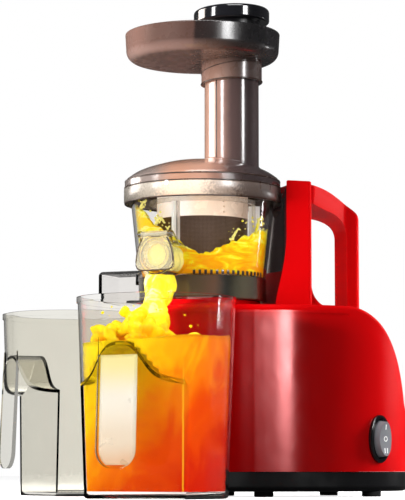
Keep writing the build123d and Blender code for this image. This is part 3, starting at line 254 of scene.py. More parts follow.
M["clear_plastic"] = clear("clear_plastic", (0.90, 0.885, 0.87), 0.03, ior=1.22).mat
M["jug_clear"] = clear("jug_clear", (0.93, 0.915, 0.89), 0.02, ior=1.18).mat
M["jug_smoke"] = clear("jug_smoke", (0.84, 0.825, 0.765), 0.03, ior=1.18).mat
m = clear("flap_milky", (1.0, 0.95, 0.80), 0.10, ior=1.2, trans=0.80)
m.colour(m.mix(m.noise(50.0, 3.0), (0.98, 0.88, 0.55), (1.0, 0.96, 0.84)))
M["flap_milky"] = m.mat
M["seal_clear"] = clear("seal_clear", (0.92, 0.88, 0.66), 0.25, ior=1.3, trans=0.8).mat
M["brush_clear"] = clear("brush_clear", (0.95, 0.90, 0.84), 0.08, ior=1.2, trans=0.8).mat

m = Mat("smoke_brown")                           # tinted lid and feed tube with painted light across the picture: greyer at the left, a painted copper glow in the middle, painted shade darkening to near black at the right
side = m.span(m.math("ADD", m.along(RIGHT, (0, 0, 0)), m.math("MULTIPLY", m.noise(40.0, 3.0), 0.006)), -0.066, 0.066)
m.colour(m.ramp(side, [(0.0, (0.26, 0.22, 0.20)), (0.18, (0.34, 0.27, 0.24)), (0.36, (0.62, 0.33, 0.22)), (0.54, (0.70, 0.40, 0.29)), (0.62, (0.46, 0.25, 0.19)),
                       (0.72, (0.12, 0.075, 0.07)), (0.84, (0.085, 0.06, 0.06)), (1.0, (0.06, 0.04, 0.04))]))
m.rough(0.14, 0.22, m.noise(90.0, 4.0))
m.bump(m.noise(60.0, 2.0, stretch=(1, 1, 0.2)), 0.10, 0.0003)
m.set(Transmission_Weight=0.34, IOR=1.45, Coat_Weight=0.5, Coat_Roughness=0.12)
M["smoke_brown"] = m.mat

m = Mat("tray_smoke_painted_light")                            # opaque tint: lighter brown at the mouth is painted light standing in for light through the tint, darkening to near black round the tamper
side = m.along(RIGHT, (0, 0, 0))
tone = m.ramp(m.span(m.math("ADD", side, m.math("MULTIPLY", m.noise(30.0, 3.0), 0.006)), -0.075, 0.05),
              [(0.0, (0.46, 0.27, 0.20)), (0.14, (0.22, 0.12, 0.095)), (0.32, (0.095, 0.048, 0.036)), (0.56, (0.085, 0.045, 0.036)), (0.585, (0.022, 0.014, 0.013)), (1.0, (0.010, 0.009, 0.010))])
low = m.span(m.axis("Z"), 0.372, 0.386)              # the collar and underside stay brown, with painted shade darkening them to the right
m.colour(m.mix(low, m.ramp(m.span(side, -0.07, 0.06), [(0.0, (0.58, 0.38, 0.33)), (0.42, (0.52, 0.31, 0.26)), (0.60, (0.32, 0.18, 0.135)), (0.8, (0.11, 0.07, 0.06)), (1.0, (0.035, 0.026, 0.026))]), tone))
m.rough(0.22, 0.32, m.noise(90.0, 4.0))
m.bump(m.noise(50.0, 1.0), 0.03, 0.0003)
m.set(IOR=1.45, Coat_Weight=0.45, Coat_Roughness=0.14)
M["tray_smoke_painted_light"] = m.mat

# strainer frame with painted light: a near-white painted highlight left of the middle, painted shade to the right, and
# a painted glow from emission of its own colour
m = plastic("ultem_bronze", (0.92, 0.74, 0.56), 0.26, 0.1, 0.10, 1200.0, 0.08)
m.colour(m.ramp(m.span(m.math("ADD", m.along(RIGHT), m.math("MULTIPLY", m.noise(90.0, 3.0), 0.004)), -0.040, 0.040),
                [(0.0, (0.98, 0.90, 0.82)), (0.30, (1.0, 0.97, 0.93)), (0.50, (1.0, 0.84, 0.68)), (0.72, (0.86, 0.70, 0.56)), (1.0, (0.50, 0.38, 0.30))]))
m.link(m.p.inputs["Base Color"].links[0].from_socket, m.p.inputs["Emission Color"])
m.set(Transmission_Weight=0.10, Emission_Strength=0.42)
M["ultem_bronze"] = m.mat
M["auger_grey"] = plastic("auger_grey", (0.40, 0.30, 0.235), 0.28, 0.12, 0.14, 1100.0, 0.10, coat=0.2).mat

m = Mat("mesh_steel")                            # fine screen: rows of small holes round the sleeve, drawn as dots of painted shade
s = m.nt.nodes.new("ShaderNodeSeparateXYZ")
m.link(m.co, s.inputs[0])
turn = m.math("MULTIPLY", m.math("ARCTAN2", s.outputs[1], s.outputs[0]), 0.0388)
pair = m.nt.nodes.new("ShaderNodeCombineXYZ")
m.link(turn, pair.inputs[0])
m.link(s.outputs[2], pair.inputs[1])
dots = m.nt.nodes.new("ShaderNodeTexVoronoi")
dots.voronoi_dimensions = "2D"
dots.inputs["Scale"].default_value = 900.0
dots.inputs["Randomness"].default_value = 0.0
m.link(pair.outputs[0], dots.inputs["Vector"])
hole = m.span(dots.outputs["Distance"], 0.22, 0.34)
m.colour(m.mix(hole, (0.030, 0.020, 0.016), (0.26, 0.17, 0.125)))
m.rough(0.35, 0.5, m.noise(200.0))
m.bump(hole, 0.8, 0.0002)
m.set(Metallic=0.55)
M["mesh_steel"] = m.mat

# lid rim band with painted light across the picture: dark at the left, a painted cream highlight in the middle, painted
# shade to the right, and a faint painted glow from emission
m = plastic("lid_band_painted_light", (0.60, 0.56, 0.53), 0.30, 0.1, 0.10, 420.0, 0.5, coat=0.15, coat_rough=0.12)
m.colour(m.ramp(m.span(m.math("ADD", m.along(RIGHT), m.math("MULTIPLY", m.noise(520.0, 5.0), 0.034)), -0.048, 0.088),
                [(0.0, (0.14, 0.125, 0.105)), (0.16, (0.34, 0.29, 0.235)), (0.31, (0.80, 0.58, 0.42)), (0.45, (0.86, 0.68, 0.54)), (0.60, (0.42, 0.32, 0.26)), (0.76, (0.125, 0.086, 0.070)), (1.0, (0.06, 0.045, 0.04))]))
m.link(m.p.inputs["Base Color"].links[0].from_socket, m.p.inputs["Emission Color"])
m.set(Emission_Strength=0.05)
M["lid_band_painted_light"] = m.mat
M["dark_line"] = plastic("dark_line", (0.045, 0.025, 0.018), 0.3, 0.1, 0.2, 1200.0, 0.1).mat
# white print with a painted glow from emission
M["mark_white_painted_glow"] = plastic("mark_white_painted_glow", (0.92, 0.92, 0.90), 0.4, 0.1, 0.04, 1500.0, 0.1, Emission_Color=(1.0, 1.0, 1.0, 1.0), Emission_Strength=0.35).mat

m = Mat("milky_tongue")                          # pale light inside the thick handle tongue
h = m.span(m.axis("Z"), 0.024, 0.122)
m.colour(m.ramp(m.math("ADD", h, m.span(m.noise(30.0), 0, 1, -0.05, 0.05)),
                [(0.0, (0.78, 0.52, 0.32)), (0.22, (0.86, 0.76, 0.62)), (0.55, (0.93, 0.90, 0.82)), (0.85, (0.95, 0.86, 0.42)), (1.0, (0.95, 0.74, 0.10))]))
m.rough(0.25, 0.4, m.noise(60.0))
m.bump(m.noise(90.0), 0.06, 0.0003)
m.link(m.p.inputs["Base Color"].links[0].from_socket, m.p.inputs["Emission Color"])
m.set(Transmission_Weight=0.25, Emission_Strength=0.10, Specular_IOR_Level=0.1)
M["milky_tongue"] = m.mat


def liquid(name, along, origin, lo, hi, stops, streak=(1, 1, 3.0), glow=0.12, swirl=0.22, gloss=0.05):
    """Juice: bands of colour that drift and curl, wet surface, and a painted glow from emission standing in for light
    scattered inside.
    """
    m = Mat(name)
    base = m.span(m.along(along, origin), lo, hi)
    curl = m.noise(34.0, 5.0, 0.6, stretch=streak, distort=1.6)
    fac = m.math("ADD", base, m.span(curl, 0.25, 0.75, -swirl, swirl))
    col = m.ramp(fac, stops)
    m.colour(col)
    m.link(col, m.p.inputs["Emission Color"])
    m.rough(0.06, 0.16, m.noise(120.0))
    m.bump(m.noise(110.0, 4.0, stretch=streak, distort=1.0), 0.22, 0.0008)
    m.set(Emission_Strength=glow, Specular_IOR_Level=gloss)
    return m.mat


PALE, YELLOW = (1.0, 0.93, 0.30), (1.0, 0.80, 0.012)
AMBER, ORANGE, EMBER = (1.0, 0.46, 0.004), (0.95, 0.20, 0.002), (0.80, 0.035, 0.002)
down_right = (RIGHT * 0.75 - UP * 0.66).normalized()
JC = JUGS["juice_jug"][0] * MM
# juice in the jug: partly the juice's own colour, partly painted shade, going from yellow at the top left to deep red
# at the bottom right across the picture
M["juice_jug_fill_painted_light"] = liquid("juice_jug_fill_painted_light", down_right, JC + UP * 0.062, -0.085, 0.062,
                             [(0.0, (0.95, 0.74, 0.010)), (0.22, (0.95, 0.62, 0.006)), (0.40, (0.92, 0.38, 0.003)), (0.56, (0.85, 0.18, 0.002)), (0.74, (0.72, 0.060, 0.0012)), (1.0, (0.55, 0.012, 0.0008))],
                             streak=(1, 1, 0.7), swirl=0.10, glow=0.10)
jm = M["juice_jug_fill_painted_light"].node_tree
shader = next(n for n in jm.nodes if n.type == "BSDF_PRINCIPLED")
tone = shader.inputs["Base Color"].links[0].from_socket
# painted highlight: a lighter yellow stripe in the juice where the jug's inner ridge catches light, fading out above
# about 85 mm
edge = Mat.__new__(Mat)
edge.nt, edge.co = jm, jm.nodes.new("ShaderNodeTexCoord").outputs["Object"]
line = edge.ramp(edge.span(edge.math("ADD", edge.along(RIGHT, JC), edge.math("MULTIPLY", edge.noise(60.0, 2.0), 0.0012)), 0.018, 0.027),
                 [(0.0, (0, 0, 0)), (0.40, (0.0, 0.0, 0.0)), (0.52, (0.75, 0.75, 0.75)), (0.64, (0, 0, 0)), (1.0, (0, 0, 0))])
painted_highlight_mask = edge.math("MULTIPLY", edge.span(edge.axis("Z"), 0.110, 0.085), line)
jm.links.new(edge.mix(painted_highlight_mask, tone, (1.0, 0.66, 0.02)), shader.inputs["Base Color"])
M["juice_splash"] = liquid("juice_splash", UP, (0, 0, 0.12), 0.0, 0.05, [(0.0, (1.0, 0.50, 0.005)), (0.25, (1.0, 0.72, 0.008)), (0.55, (0.98, 0.82, 0.012)), (0.85, (1.0, 0.90, 0.05)), (1.0, (1.0, 0.92, 0.28))], (1, 1, 1), 0.08, 0.6, 0.12)
# juice on the bowl's wall: orange low and yellow higher, partly its own colour, with a pale whitish band near the top
# as a painted highlight
M["juice_bowl_painted_light"] = liquid("juice_bowl_painted_light", UP, (0, 0, 0.187), 0.0, 0.052, [(0.0, (1.0, 0.40, 0.004)), (0.30, (1.0, 0.56, 0.006)), (0.50, (1.0, 0.78, 0.012)), (0.68, (1.0, 0.90, 0.04)), (0.84, (1.0, 0.95, 0.30)), (1.0, (1.0, 0.66, 0.01))], (1, 1, 3.2), 0.14, 0.75, 0.12)

BY_NODE = {
    "lower_housing": "red_gloss", "upper_housing": "red_gloss", "tower_front_panel": "smoke_dark", "base_plate": "black_plastic",
    "rubber_feet": "rubber_black", "base_screws": "steel", "cord_gland": "rubber_black", "switch_bezel": "black_gloss",
    "switch_body": "black_plastic", "motor_lower_bracket": "aluminium", "motor_upper_bracket": "aluminium",
    "stator_core": "lamination_steel", "stator_windings": "copper_winding", "motor_bearings": "steel", "motor_screws": "steel",
    "gearbox_case": "grey_plastic", "gearbox_cover": "grey_plastic", "gearbox_screws": "steel", "output_bushes": "bronze",
    "intermediate_shaft": "steel", "shaft_seal": "rubber_black", "run_capacitor": "grey_plastic", "capacitor_clamp": "black_plastic",
    "motor_shaft": "steel", "rotor_core": "lamination_steel", "cooling_fan": "black_plastic", "motor_pinion": "steel",
    "intermediate_gear": "white_nylon", "output_gear": "white_nylon", "drive_shaft": "steel", "switch_rocker": "grey_rocker",
    "juicing_bowl": "clear_plastic", "bowl_base_ring": "dark_ring", "bowl_bottom_seal": "white_silicone", "idler_pin": "steel",
    "strainer_frame": "ultem_bronze", "strainer_mesh": "mesh_steel", "brush_idler_gear": "white_nylon", "brush_frame": "brush_clear",
    "wiper_blades": "white_silicone", "auger": "auger_grey", "auger_top_pin": "steel", "juice_cap": "flap_milky",
    "cap_hinge_pin": "steel", "cap_seal": "seal_clear", "lid": "smoke_brown", "lid_bush": "white_nylon", "lid_seal": "white_silicone",
    "hopper_tray": "tray_smoke_painted_light", "tamper_stem": "black_plastic", "tamper_cap": "black_gloss", "juice_jug": "jug_clear", "pulp_jug": "jug_smoke",
}
for node, obj in NODES.items():
    mat = M[BY_NODE[node]]
    if not obj.material_slots:
        obj.data.materials.append(mat)
    for slot in obj.material_slots:
        slot.link = "OBJECT"
        slot.material = mat


# ------------------------------------------------------------------ mesh helpers
def put(name, verts, faces, mat, body, smooth=True):
    """Vertices are given in millimetres, in the CAD's frame."""
    me = bpy.data.meshes.new(name)
    me.from_pydata([Vector(v) * MM for v in verts], [], faces)
    me.validate()
    bm = bmesh.new()
    bm.from_mesh(me)
    bmesh.ops.recalc_face_normals(bm, faces=bm.faces)
    bm.to_mesh(me)
    bm.free()
    if smooth:
        me.shade_smooth()
    me.materials.append(M[mat])
    ob = bpy.data.objects.new(name, me)
    bpy.context.scene.collection.objects.link(ob)
    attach(ob, body)
    return ob


def ring_piece(name, profile, mat, body, n=160, centre=(0, 0), start=0.0, end=360.0):
    """Turns a closed profile of (radius, z) about a vertical axis."""
    full = abs(end - start) >= 359.99
    count = n if full else n + 1
    verts, faces, k = [], [], len(profile)
    for i in range(count):
        a = math.radians(start + (end - start) * i / n)
        for r, z in profile:
            verts.append((centre[0] + r * math.cos(a), centre[1] + r * math.sin(a), z))
    for i in range(n):
        j = (i + 1) % count
        for q in range(k):
            faces.append((i * k + q, j * k + q, j * k + (q + 1) % k, i * k + (q + 1) % k))
    if not full:
        faces += [tuple(range(k)), tuple(range((count - 1) * k, count * k))]
    return put(name, verts, faces, mat, body)


def rod(name, path, radius, mat, body, sides=10, closed=False, squash=1.0):
    """A smooth bead along a list of points."""
    pts = [Vector(p) for p in path]
    n = len(pts)
    verts, faces = [], []
    for i, p in enumerate(pts):
        a, b = pts[(i - 1) % n if closed else max(0, i - 1)], pts[(i + 1) % n if closed else min(n - 1, i + 1)]
        t = (b - a).normalized()
        side = t.cross(UP)
        if side.length < 1e-3:
            side = t.cross(RIGHT)
        side.normalize()
        up = side.cross(t).normalized()
        r = radius(i / (n - 1)) if callable(radius) else radius
        for k in range(sides):
            w = 2 * math.pi * k / sides
            verts.append(p + side * (r * math.cos(w)) + up * (r * squash * math.sin(w)))
    for i in range(n if closed else n - 1):
        j = (i + 1) % n
        for k in range(sides):
            faces.append((i * sides + k, i * sides + (k + 1) % sides, j * sides + (k + 1) % sides, j * sides + k))
    if not closed:
        faces += [tuple(range(sides)), tuple(range((n - 1) * sides, n * sides))]
    return put(name, verts, faces, mat, body)


def place(mesh, name, mat, body):
    mesh.name = name
    mesh.shade_smooth()
    mesh.materials.clear()
    mesh.materials.append(M[mat])
    piece = bpy.data.objects.new(name, mesh)
    bpy.context.scene.collection.objects.link(piece)
    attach(piece, body)
    return piece


def cut_at(mesh, z, above):
    """The part of a closed mesh above or below a height, closed again at the cut."""
    bm = bmesh.new()
    bm.from_mesh(mesh)
    bmesh.ops.bisect_plane(bm, geom=bm.verts[:] + bm.edges[:] + bm.faces[:], plane_co=(0, 0, z * MM), plane_no=(0, 0, 1),
                           clear_outer=not above, clear_inner=above)
    bmesh.ops.holes_fill(bm, edges=[e for e in bm.edges if e.is_boundary], sides=0)
    bmesh.ops.recalc_face_normals(bm, faces=bm.faces)
    part = bpy.data.meshes.new("cut")
    bm.to_mesh(part)
    bm.free()
    return part


def liquid_lumps(name, balls, voxel, mat, body, rough=0.8, scale=0.16, keep=None):
    return place(lump_mesh(name, balls, voxel, rough, scale, keep), name, mat, body)


def lump_mesh(name, balls, voxel, rough=0.8, scale=0.16, keep=None):
    """Merges round lumps into one flowing surface, then gives it small waves."""
    bm = bmesh.new()
    for c, r in balls:
        bmesh.ops.create_icosphere(bm, subdivisions=3, radius=r * MM, matrix=Matrix.Translation(Vector(c) * MM))
    me = bpy.data.meshes.new(name + "_raw")
    bm.to_mesh(me)
    bm.free()
    ob = bpy.data.objects.new(name + "_raw", me)
    bpy.context.scene.collection.objects.link(ob)
    r = ob.modifiers.new("merge", "REMESH")
    r.mode, r.voxel_size, r.use_smooth_shade = "VOXEL", voxel * MM, True
    s = ob.modifiers.new("soft", "SMOOTH")
    s.factor, s.iterations = 0.5, 6
    dg = bpy.context.evaluated_depsgraph_get()
    done = bpy.data.meshes.new_from_object(ob.evaluated_get(dg))
    bpy.data.objects.remove(ob)
    for v in done.vertices:
        p = v.co / MM
        d = noise.noise_vector(p * scale) * rough
        q = p + d
        v.co = (keep(q) if keep else q) * MM
    return done


def surface_of(node):
    me = NODES[node].data
    return BVHTree.FromPolygons([v.co.copy() for v in me.vertices], [tuple(p.vertices) for p in me.polygons])


def decal(name, node, shapes, origin, ex, ey, n, mat, body, proud=0.12, reach=25.0):
    """Raised marks laid on a CAD surface: each shape is a strip of points on its two edges, in mm on the (ex, ey) plane."""
    tree = surface_of(node)
    verts, faces = [], []
    for left, right in shapes:
        rows = []
        for (a0, b0), (a1, b1) in zip(left, right):
            row = []
            for k in range(4):
                a, b = a0 + (a1 - a0) * k / 3, b0 + (b1 - b0) * k / 3
                p = (origin + ex * a + ey * b + n * reach) * MM
                hit = tree.ray_cast(p, -n, 2 * reach * MM)[0]
                base = hit / MM if hit is not None else origin + ex * a + ey * b
                row.append(base + n * proud)
            rows.append(row)
        start = len(verts)
        for row in rows:
            verts += row
        low = len(verts)
        for row in rows:
            verts += [p - n * (proud + 0.25) for p in row]
        c = len(rows)

        def vid(i, k, lower=False):
            return (low if lower else start) + i * 4 + k

        for i in range(c - 1):
            for k in range(3):
                faces.append((vid(i, k), vid(i + 1, k), vid(i + 1, k + 1), vid(i, k + 1)))
                faces.append((vid(i, k, True), vid(i, k + 1, True), vid(i + 1, k + 1, True), vid(i + 1, k, True)))
            for k in (0, 3):
                faces.append((vid(i, k), vid(i + 1, k), vid(i + 1, k, True), vid(i, k, True)))
        for i in (0, c - 1):
            for k in range(3):
                faces.append((vid(i, k), vid(i, k + 1), vid(i, k + 1, True), vid(i, k, True)))
    return put(name, verts, faces, mat, body, smooth=False)


# ------------------------------------------------------------------ lid: band with painted highlight and shade, a painted shadow line below it, dark lines, locking dot, seams of the tube
ring_piece("lid_rim_band", [(65.7, 252.4), (67.6, 252.4), (68.1, 253.2), (68.15, 264.0), (67.8, 264.8), (67.55, 264.6), (67.55, 261.3), (65.7, 261.3)], "lid_band_painted_light", "lid")
# painted shadow: a dark ring under the band standing in for the shadow gap between lid and bowl
ring_piece("lid_rim_painted_shadow_line", [(65.8, 251.5), (67.7, 251.5), (67.9, 252.3), (65.8, 252.35)], "dark_line", "lid")
ring_piece("lid_rim_middle_line", [(67.55, 265.0), (68.0, 265.1), (68.0, 265.9), (67.55, 266.0)], "dark_line", "lid")
ring_piece("lid_rim_upper_line", [(66.3, 272.1), (67.3, 271.6), (67.65, 270.9), (67.6, 270.75), (66.9, 271.2)], "dark_line", "lid")


def disc_strips(r, n=10, at=(0.0, 0.0)):
    top = [(at[0] + r * math.sin(math.pi * i / n), at[1] + r * math.cos(math.pi * i / n)) for i in range(n + 1)]
    return [([(2 * at[0] - a, b) for a, b in top], top)]


def ring_strips(r0, r1, n=24, at=(0.0, 0.0), sy=1.0):
    inner = [(at[0] + r0 * math.cos(2 * math.pi * i / n), at[1] + sy * r0 * math.sin(2 * math.pi * i / n)) for i in range(n + 1)]
    outer = [(at[0] + r1 * math.cos(2 * math.pi * i / n), at[1] + sy * r1 * math.sin(2 * math.pi * i / n)) for i in range(n + 1)]
    return [(inner, outer)]


def on_circle(alpha, r, z):
    """A point at angle alpha from the camera's direction, positive to the right in the picture."""
    a = math.radians(alpha)
    d = VIEW * math.cos(a) + RIGHT * math.sin(a)
    return Vector((d.x * r, d.y * r, z)), d


dot_at, dot_n = on_circle(-26.0, 67.5, 263.2)
decal("lid_locking_dot", "lid", disc_strips(2.1), dot_at, Vector((-dot_n.y, dot_n.x, 0)), UP, dot_n, "mark_white_painted_glow", "lid", proud=1.0)


def on_tube(t, extra, z, a=31.0, b=22.5, yc=27.0):
    w = math.radians(t)
    n = Vector((math.cos(w) / a, math.sin(w) / b, 0)).normalized()
    return Vector((a * math.cos(w), yc + b * math.sin(w), z)) + n * extra


rod("feed_tube_rib", [on_tube(-60.5, -0.25, z) for z in (*range(290, 358, 6), 359)], 0.75, "dark_line", "lid", sides=8)
DOME = [(0.0, 291.6), (23.9, 288.7), (41.3, 284.7), (58.6, 278.1), (65.2, 273.6)]


def dome_z(p):
    r = math.hypot(p.x, p.y)
    for (a, za), (b, zb) in zip(DOME, DOME[1:]):
        if r <= b:
            return za + (zb - za) * (r - a) / (b - a)
    return DOME[-1][1]


def on_foot(t):
    p = on_tube(t, 0.6, 0.0)
    p.z = dome_z(p) + 0.7
    return p


rod("feed_tube_foot_bead", [on_foot(t) for t in range(0, 360, 6)], 1.3, "smoke_brown", "lid", sides=10, closed=True)
rod("collar_lower_bead", [on_tube(t, 0.15, 359.7, 33.8, 25.3) for t in range(0, 360, 6)], 0.55, "dark_line", "hopper", sides=8, closed=True)
rod("collar_seam", [on_tube(t, 0.05, 371.6 + 3.2 * math.sin(math.radians(t + 60)), 33.8, 25.3) for t in range(-130, 40, 5)], 0.42, "dark_line", "hopper", sides=8)


# ------------------------------------------------------------------ rocker marks (generic I, O, II)
SW_ANG = math.radians(24.2)
SW_N, SW_T = Vector((math.cos(SW_ANG), math.sin(SW_ANG), 0)), Vector((-math.sin(SW_ANG), math.cos(SW_ANG), 0))
SW_O = Vector((58.2, 140.0, 49.0))


def bar(x, y, w, h):
    ys = [y - h / 2 + h * i / 4 for i in range(5)]
    return ([(x - w / 2, v) for v in ys], [(x + w / 2, v) for v in ys])


decal("rocker_marks", "switch_rocker", [bar(0, 10.0, 1.2, 4.4), *ring_strips(1.5, 2.4), bar(-1.5, -10.0, 1.2, 4.4), bar(1.5, -10.0, 1.2, 4.4)],
      SW_O, SW_T, UP, SW_N, "mark_white_painted_glow", "rocker", proud=0.10)

verts, faces = [], []
for i in range(15):
    base = len(verts)
    for a in (-8.0 + 5.0 * i, -6.9 + 5.0 * i, -5.8 + 5.0 * i):
        for r, z in ((55.55, 186.3), (56.15, 186.3), (56.25, 189.0), (55.95, 190.2), (55.65, 190.1)):
            q, _ = on_circle(a, r, z)
            verts.append(q)
    for step in (0, 5):
        for k in range(5):
            n = (k + 1) % 5
            faces.append((base + step + k, base + step + n, base + step + 5 + n, base + step + 5 + k))
    faces += [tuple(base + k for k in range(5)), tuple(base + 10 + k for k in range(4, -1, -1))]
put("ring_top_ribs", verts, faces, "dark_line", "bowl", smooth=False)

# ------------------------------------------------------------------ spout: a dark bead round the mouth as its painted shadow line, and the flap's seal line
mouth = Vector((0, 0, 200.6)) + S_DIR * 86.9
rod("spout_mouth_painted_shadow_rim", [mouth + S_T * (16.1 * math.cos(2 * math.pi * k / 48)) + UP * (16.1 * math.sin(2 * math.pi * k / 48)) for k in range(48)],
    0.42, "dark_line", "bowl", sides=8, closed=True)


FLAP = [(-11.4, 14.2), (-13.6, 10.4), (-15.6, 6.0), (-17.0, 0.0), (-17.7, -6.0), (-17.6, -8.6), (-16.3, -11.6), (-12.6, -13.1), (-6.0, -13.2), (0.0, -13.2)]
FLAP += [(-x, y) for x, y in reversed(FLAP[:-1])]
front = Vector((0, 0, 200.6)) + S_DIR * 89.55
rod("flap_edge_bead", [front + S_T * (x * 0.985) + UP * (y * 0.985) for x, y in FLAP], 0.55, "dark_line", "spout_cap", sides=8)


# ------------------------------------------------------------------ jugs: wall shape, and the pale glow in the juice jug's tongue
def jug_half(z):
    f = (z - 3.0) / 158.0
    return 52.2 + 6.2 * f, 53.2 + 6.45 * f, 45.6 + 7.0 * f


ARCH = [(75, 86), (48, 89), (30, 95), (19, 109), (9, 118.2), (0, 120), (-9, 118.2), (-19, 109), (-30, 95), (-48, 89), (-75, 86)]


def arch_z(u):
    pts = sorted(ARCH)
    for (a, za), (b, zb) in zip(pts, pts[1:]):
        if a <= u <= b:
            return za + (zb - za) * (u - a) / (b - a)
    return 86.0


def jug_point(name, u, v, z):
    c, deg = JUGS[name]
    d, t = heading(deg)
    return Vector((c.x, c.y, z)) + t * u + d * v


def jug_ring(z, gap, n=200, top=None):
    """Points just inside the jug's wall at height z, in the jug's own (u, v), with the handle recess cut off."""
    hx, hy, r = jug_half(z)
    hx, hy, r = hx - gap, hy - gap, r - gap
    pts = []
    for i in range(n):
        a = 2 * math.pi * i / n
        cx, cy = math.cos(a), math.sin(a)
        x = (hx - r) * (1 if cx > 1e-9 else -1 if cx < -1e-9 else 0) + r * cx
        y = (hy - r) * (1 if cy > 1e-9 else -1 if cy < -1e-9 else 0) + r * cy
        if y > RECESS - gap and z < arch_z(x) + 2.6 + gap:
            y = RECESS - gap
        pts.append((x, y))
    return pts


for jug in JUGS:
    if jug == "juice_jug":
        rows, cols = 26, 10
        verts, faces = [], []
        for layer in (0.0, -0.35):
            for i in range(rows + 1):
                z = 26.5 + (112.0 - 26.5) * i / rows
                inner = 61.3 - (z - 22) * (2.4 / 68) if z < 90 else 58.9 - (z - 90) * (0.8 / 28.4)
                low = z - 24.0
                half = 16.2 if low > 15 else max(3.0, 16.2 - 15 + math.sqrt(max(0.0, 15 ** 2 - (15 - low) ** 2)))
                for k in range(cols + 1):
                    verts.append(jug_point(jug, -half + 2 * half * k / cols, inner - 0.30 + layer, z))
        per = (rows + 1) * (cols + 1)
        for layer in (0, per):
            for i in range(rows):
                for k in range(cols):
                    a = layer + i * (cols + 1) + k
                    faces.append((a, a + 1, a + cols + 2, a + cols + 1))
        edge = [i * (cols + 1) for i in range(rows + 1)] + [rows * (cols + 1) + k for k in range(1, cols + 1)]
        edge += [i * (cols + 1) + cols for i in range(rows - 1, -1, -1)] + [k for k in range(cols - 1, 0, -1)]
        for a, b in zip(edge, edge[1:] + edge[:1]):
            faces.append((a, b, b + per, a + per))
        put("juice_jug_tongue_glow", verts, faces, "milky_tongue", "juice_jug")


# ------------------------------------------------------------------ juice in the jug
def surface_z(p):
    """Height of the juice at a place: a little higher to the right, with waves."""
    s = (p - JUGS["juice_jug"][0]).dot(RIGHT)
    base = 124.5 + 0.055 * s
    return base + 1.6 * noise.noise(Vector((p.x, p.y, 0)) * 0.055) + 0.5 * noise.noise(Vector((p.x, p.y, 5)) * 0.17)


levels = [5.8] + [8 + 5 * i for i in range(24)]
N = 200
verts, faces = [], []
for z in levels:
    for u, v in jug_ring(z, 0.5, N):
        p = jug_point("juice_jug", u, v, z)
        verts.append(p)
top_rows = 14
for k in range(top_rows + 1):
    f = 1.0 - k / top_rows
    for u, v in jug_ring(123.0, 0.5, N):
        p = jug_point("juice_jug", u * f, v * f, 0)
        p.z = surface_z(p) + (0.9 if k == 0 else 0.0)
        verts.append(p)
total = len(levels) + top_rows + 1
for i in range(total - 1):
    for k in range(N):
        j = (k + 1) % N
        faces.append((i * N + k, i * N + j, (i + 1) * N + j, (i + 1) * N + k))
faces.append(tuple(range(N - 1, -1, -1)))
put("juice_in_jug", verts, faces, "juice_jug_fill_painted_light", "juice_jug")


def inside_jug(p):
    """Draws a point back inside the jug's walls."""
    c, deg = JUGS["juice_jug"]
    d, t = heading(deg)
    q = p - Vector((c.x, c.y, 0))
    u, v = q.dot(t), q.dot(d)
    hx, hy, r = jug_half(min(p.z, 160))
    hx, hy, r = hx - 1.2, hy - 1.2, r - 1.2
    u, v = max(-hx, min(hx, u)), max(-hy, min(hy, v))
    ax, ay = abs(u) - (hx - r), abs(v) - (hy - r)
    if ax > 0 and ay > 0:
        k = math.hypot(ax, ay)
        if k > r:
            u = math.copysign(hx - r + ax * r / k, u)
            v = math.copysign(hy - r + ay * r / k, v)
    return Vector((c.x, c.y, p.z)) + t * u + d * v


rng = random.Random(11)
balls = []
cloud = JUGS["juice_jug"][0] + RIGHT * -20 + VIEW * 22
for i in range(84):
    a, f = rng.uniform(0, 2 * math.pi), math.sqrt(rng.random())
    x, y = 31 * f * math.cos(a), 22 * f * math.sin(a)
    lift = 34 * (1 - f) * rng.uniform(0.2, 1.0)
    balls.append((cloud + RIGHT * x + VIEW * y + UP * (123 + lift), rng.uniform(3.2, 7.5) * (1.15 - 0.5 * f)))
for i in range(14):
    f = i / 13
    balls.append((cloud + RIGHT * (-18 - 13 * f) + VIEW * (6 - 8 * f) + UP * (126 + 18 * f * (1.4 - f)), 4.6 - 2.6 * f))
for i in range(12):
    f = i / 11
    balls.append((cloud + RIGHT * (24 + 30 * f) + VIEW * (2 - 6 * f) + UP * (127 + 3 * math.sin(f * 9)), 4.0 - 2.0 * f))
for i in range(26):
    balls.append((cloud + RIGHT * rng.uniform(-34, 56) + VIEW * rng.uniform(-12, 14) + UP * rng.uniform(130, 151), rng.uniform(0.8, 1.7)))
liquid_lumps("juice_splash_in_jug", [(inside_jug(Vector((c.x, c.y, min(c.z, 157.0)))), r) for c, r in balls], 1.1, "juice_splash", "juice_jug",
             rough=2.0, scale=0.11, keep=lambda p: inside_jug(Vector((p.x, p.y, min(p.z, 158.5)))))

# ------------------------------------------------------------------ juice in the spout and the pour
spout = lambda r, up, side=0.0: Vector((0, 0, 200.6)) + S_DIR * r + S_T * side + UP * up
balls = []
for i in range(15):
    r = 56 + 28.5 * i / 14
    balls += [(spout(r, -3.4, 2.6 * math.sin(r * 0.5)), 7.9), (spout(r, -3.6, -2.4), 7.7), (spout(r, 1.6, 0.8), 7.4 + 0.5 * math.sin(r))]


def inside_spout(p):
    q = p - Vector((0, 0, 200.6))
    a, s, h = q.dot(S_DIR), q.dot(S_T), q.z
    k = math.hypot(s, h)
    if k > 11.9:
        s, h = s * 11.9 / k, h * 11.9 / k
    return Vector((0, 0, 200.6)) + S_DIR * min(max(a, 54.0), 84.2) + S_T * s + UP * h


liquid_lumps("juice_in_spout", balls, 0.9, "juice_splash", "bowl", rough=0.7, scale=0.2, keep=inside_spout)

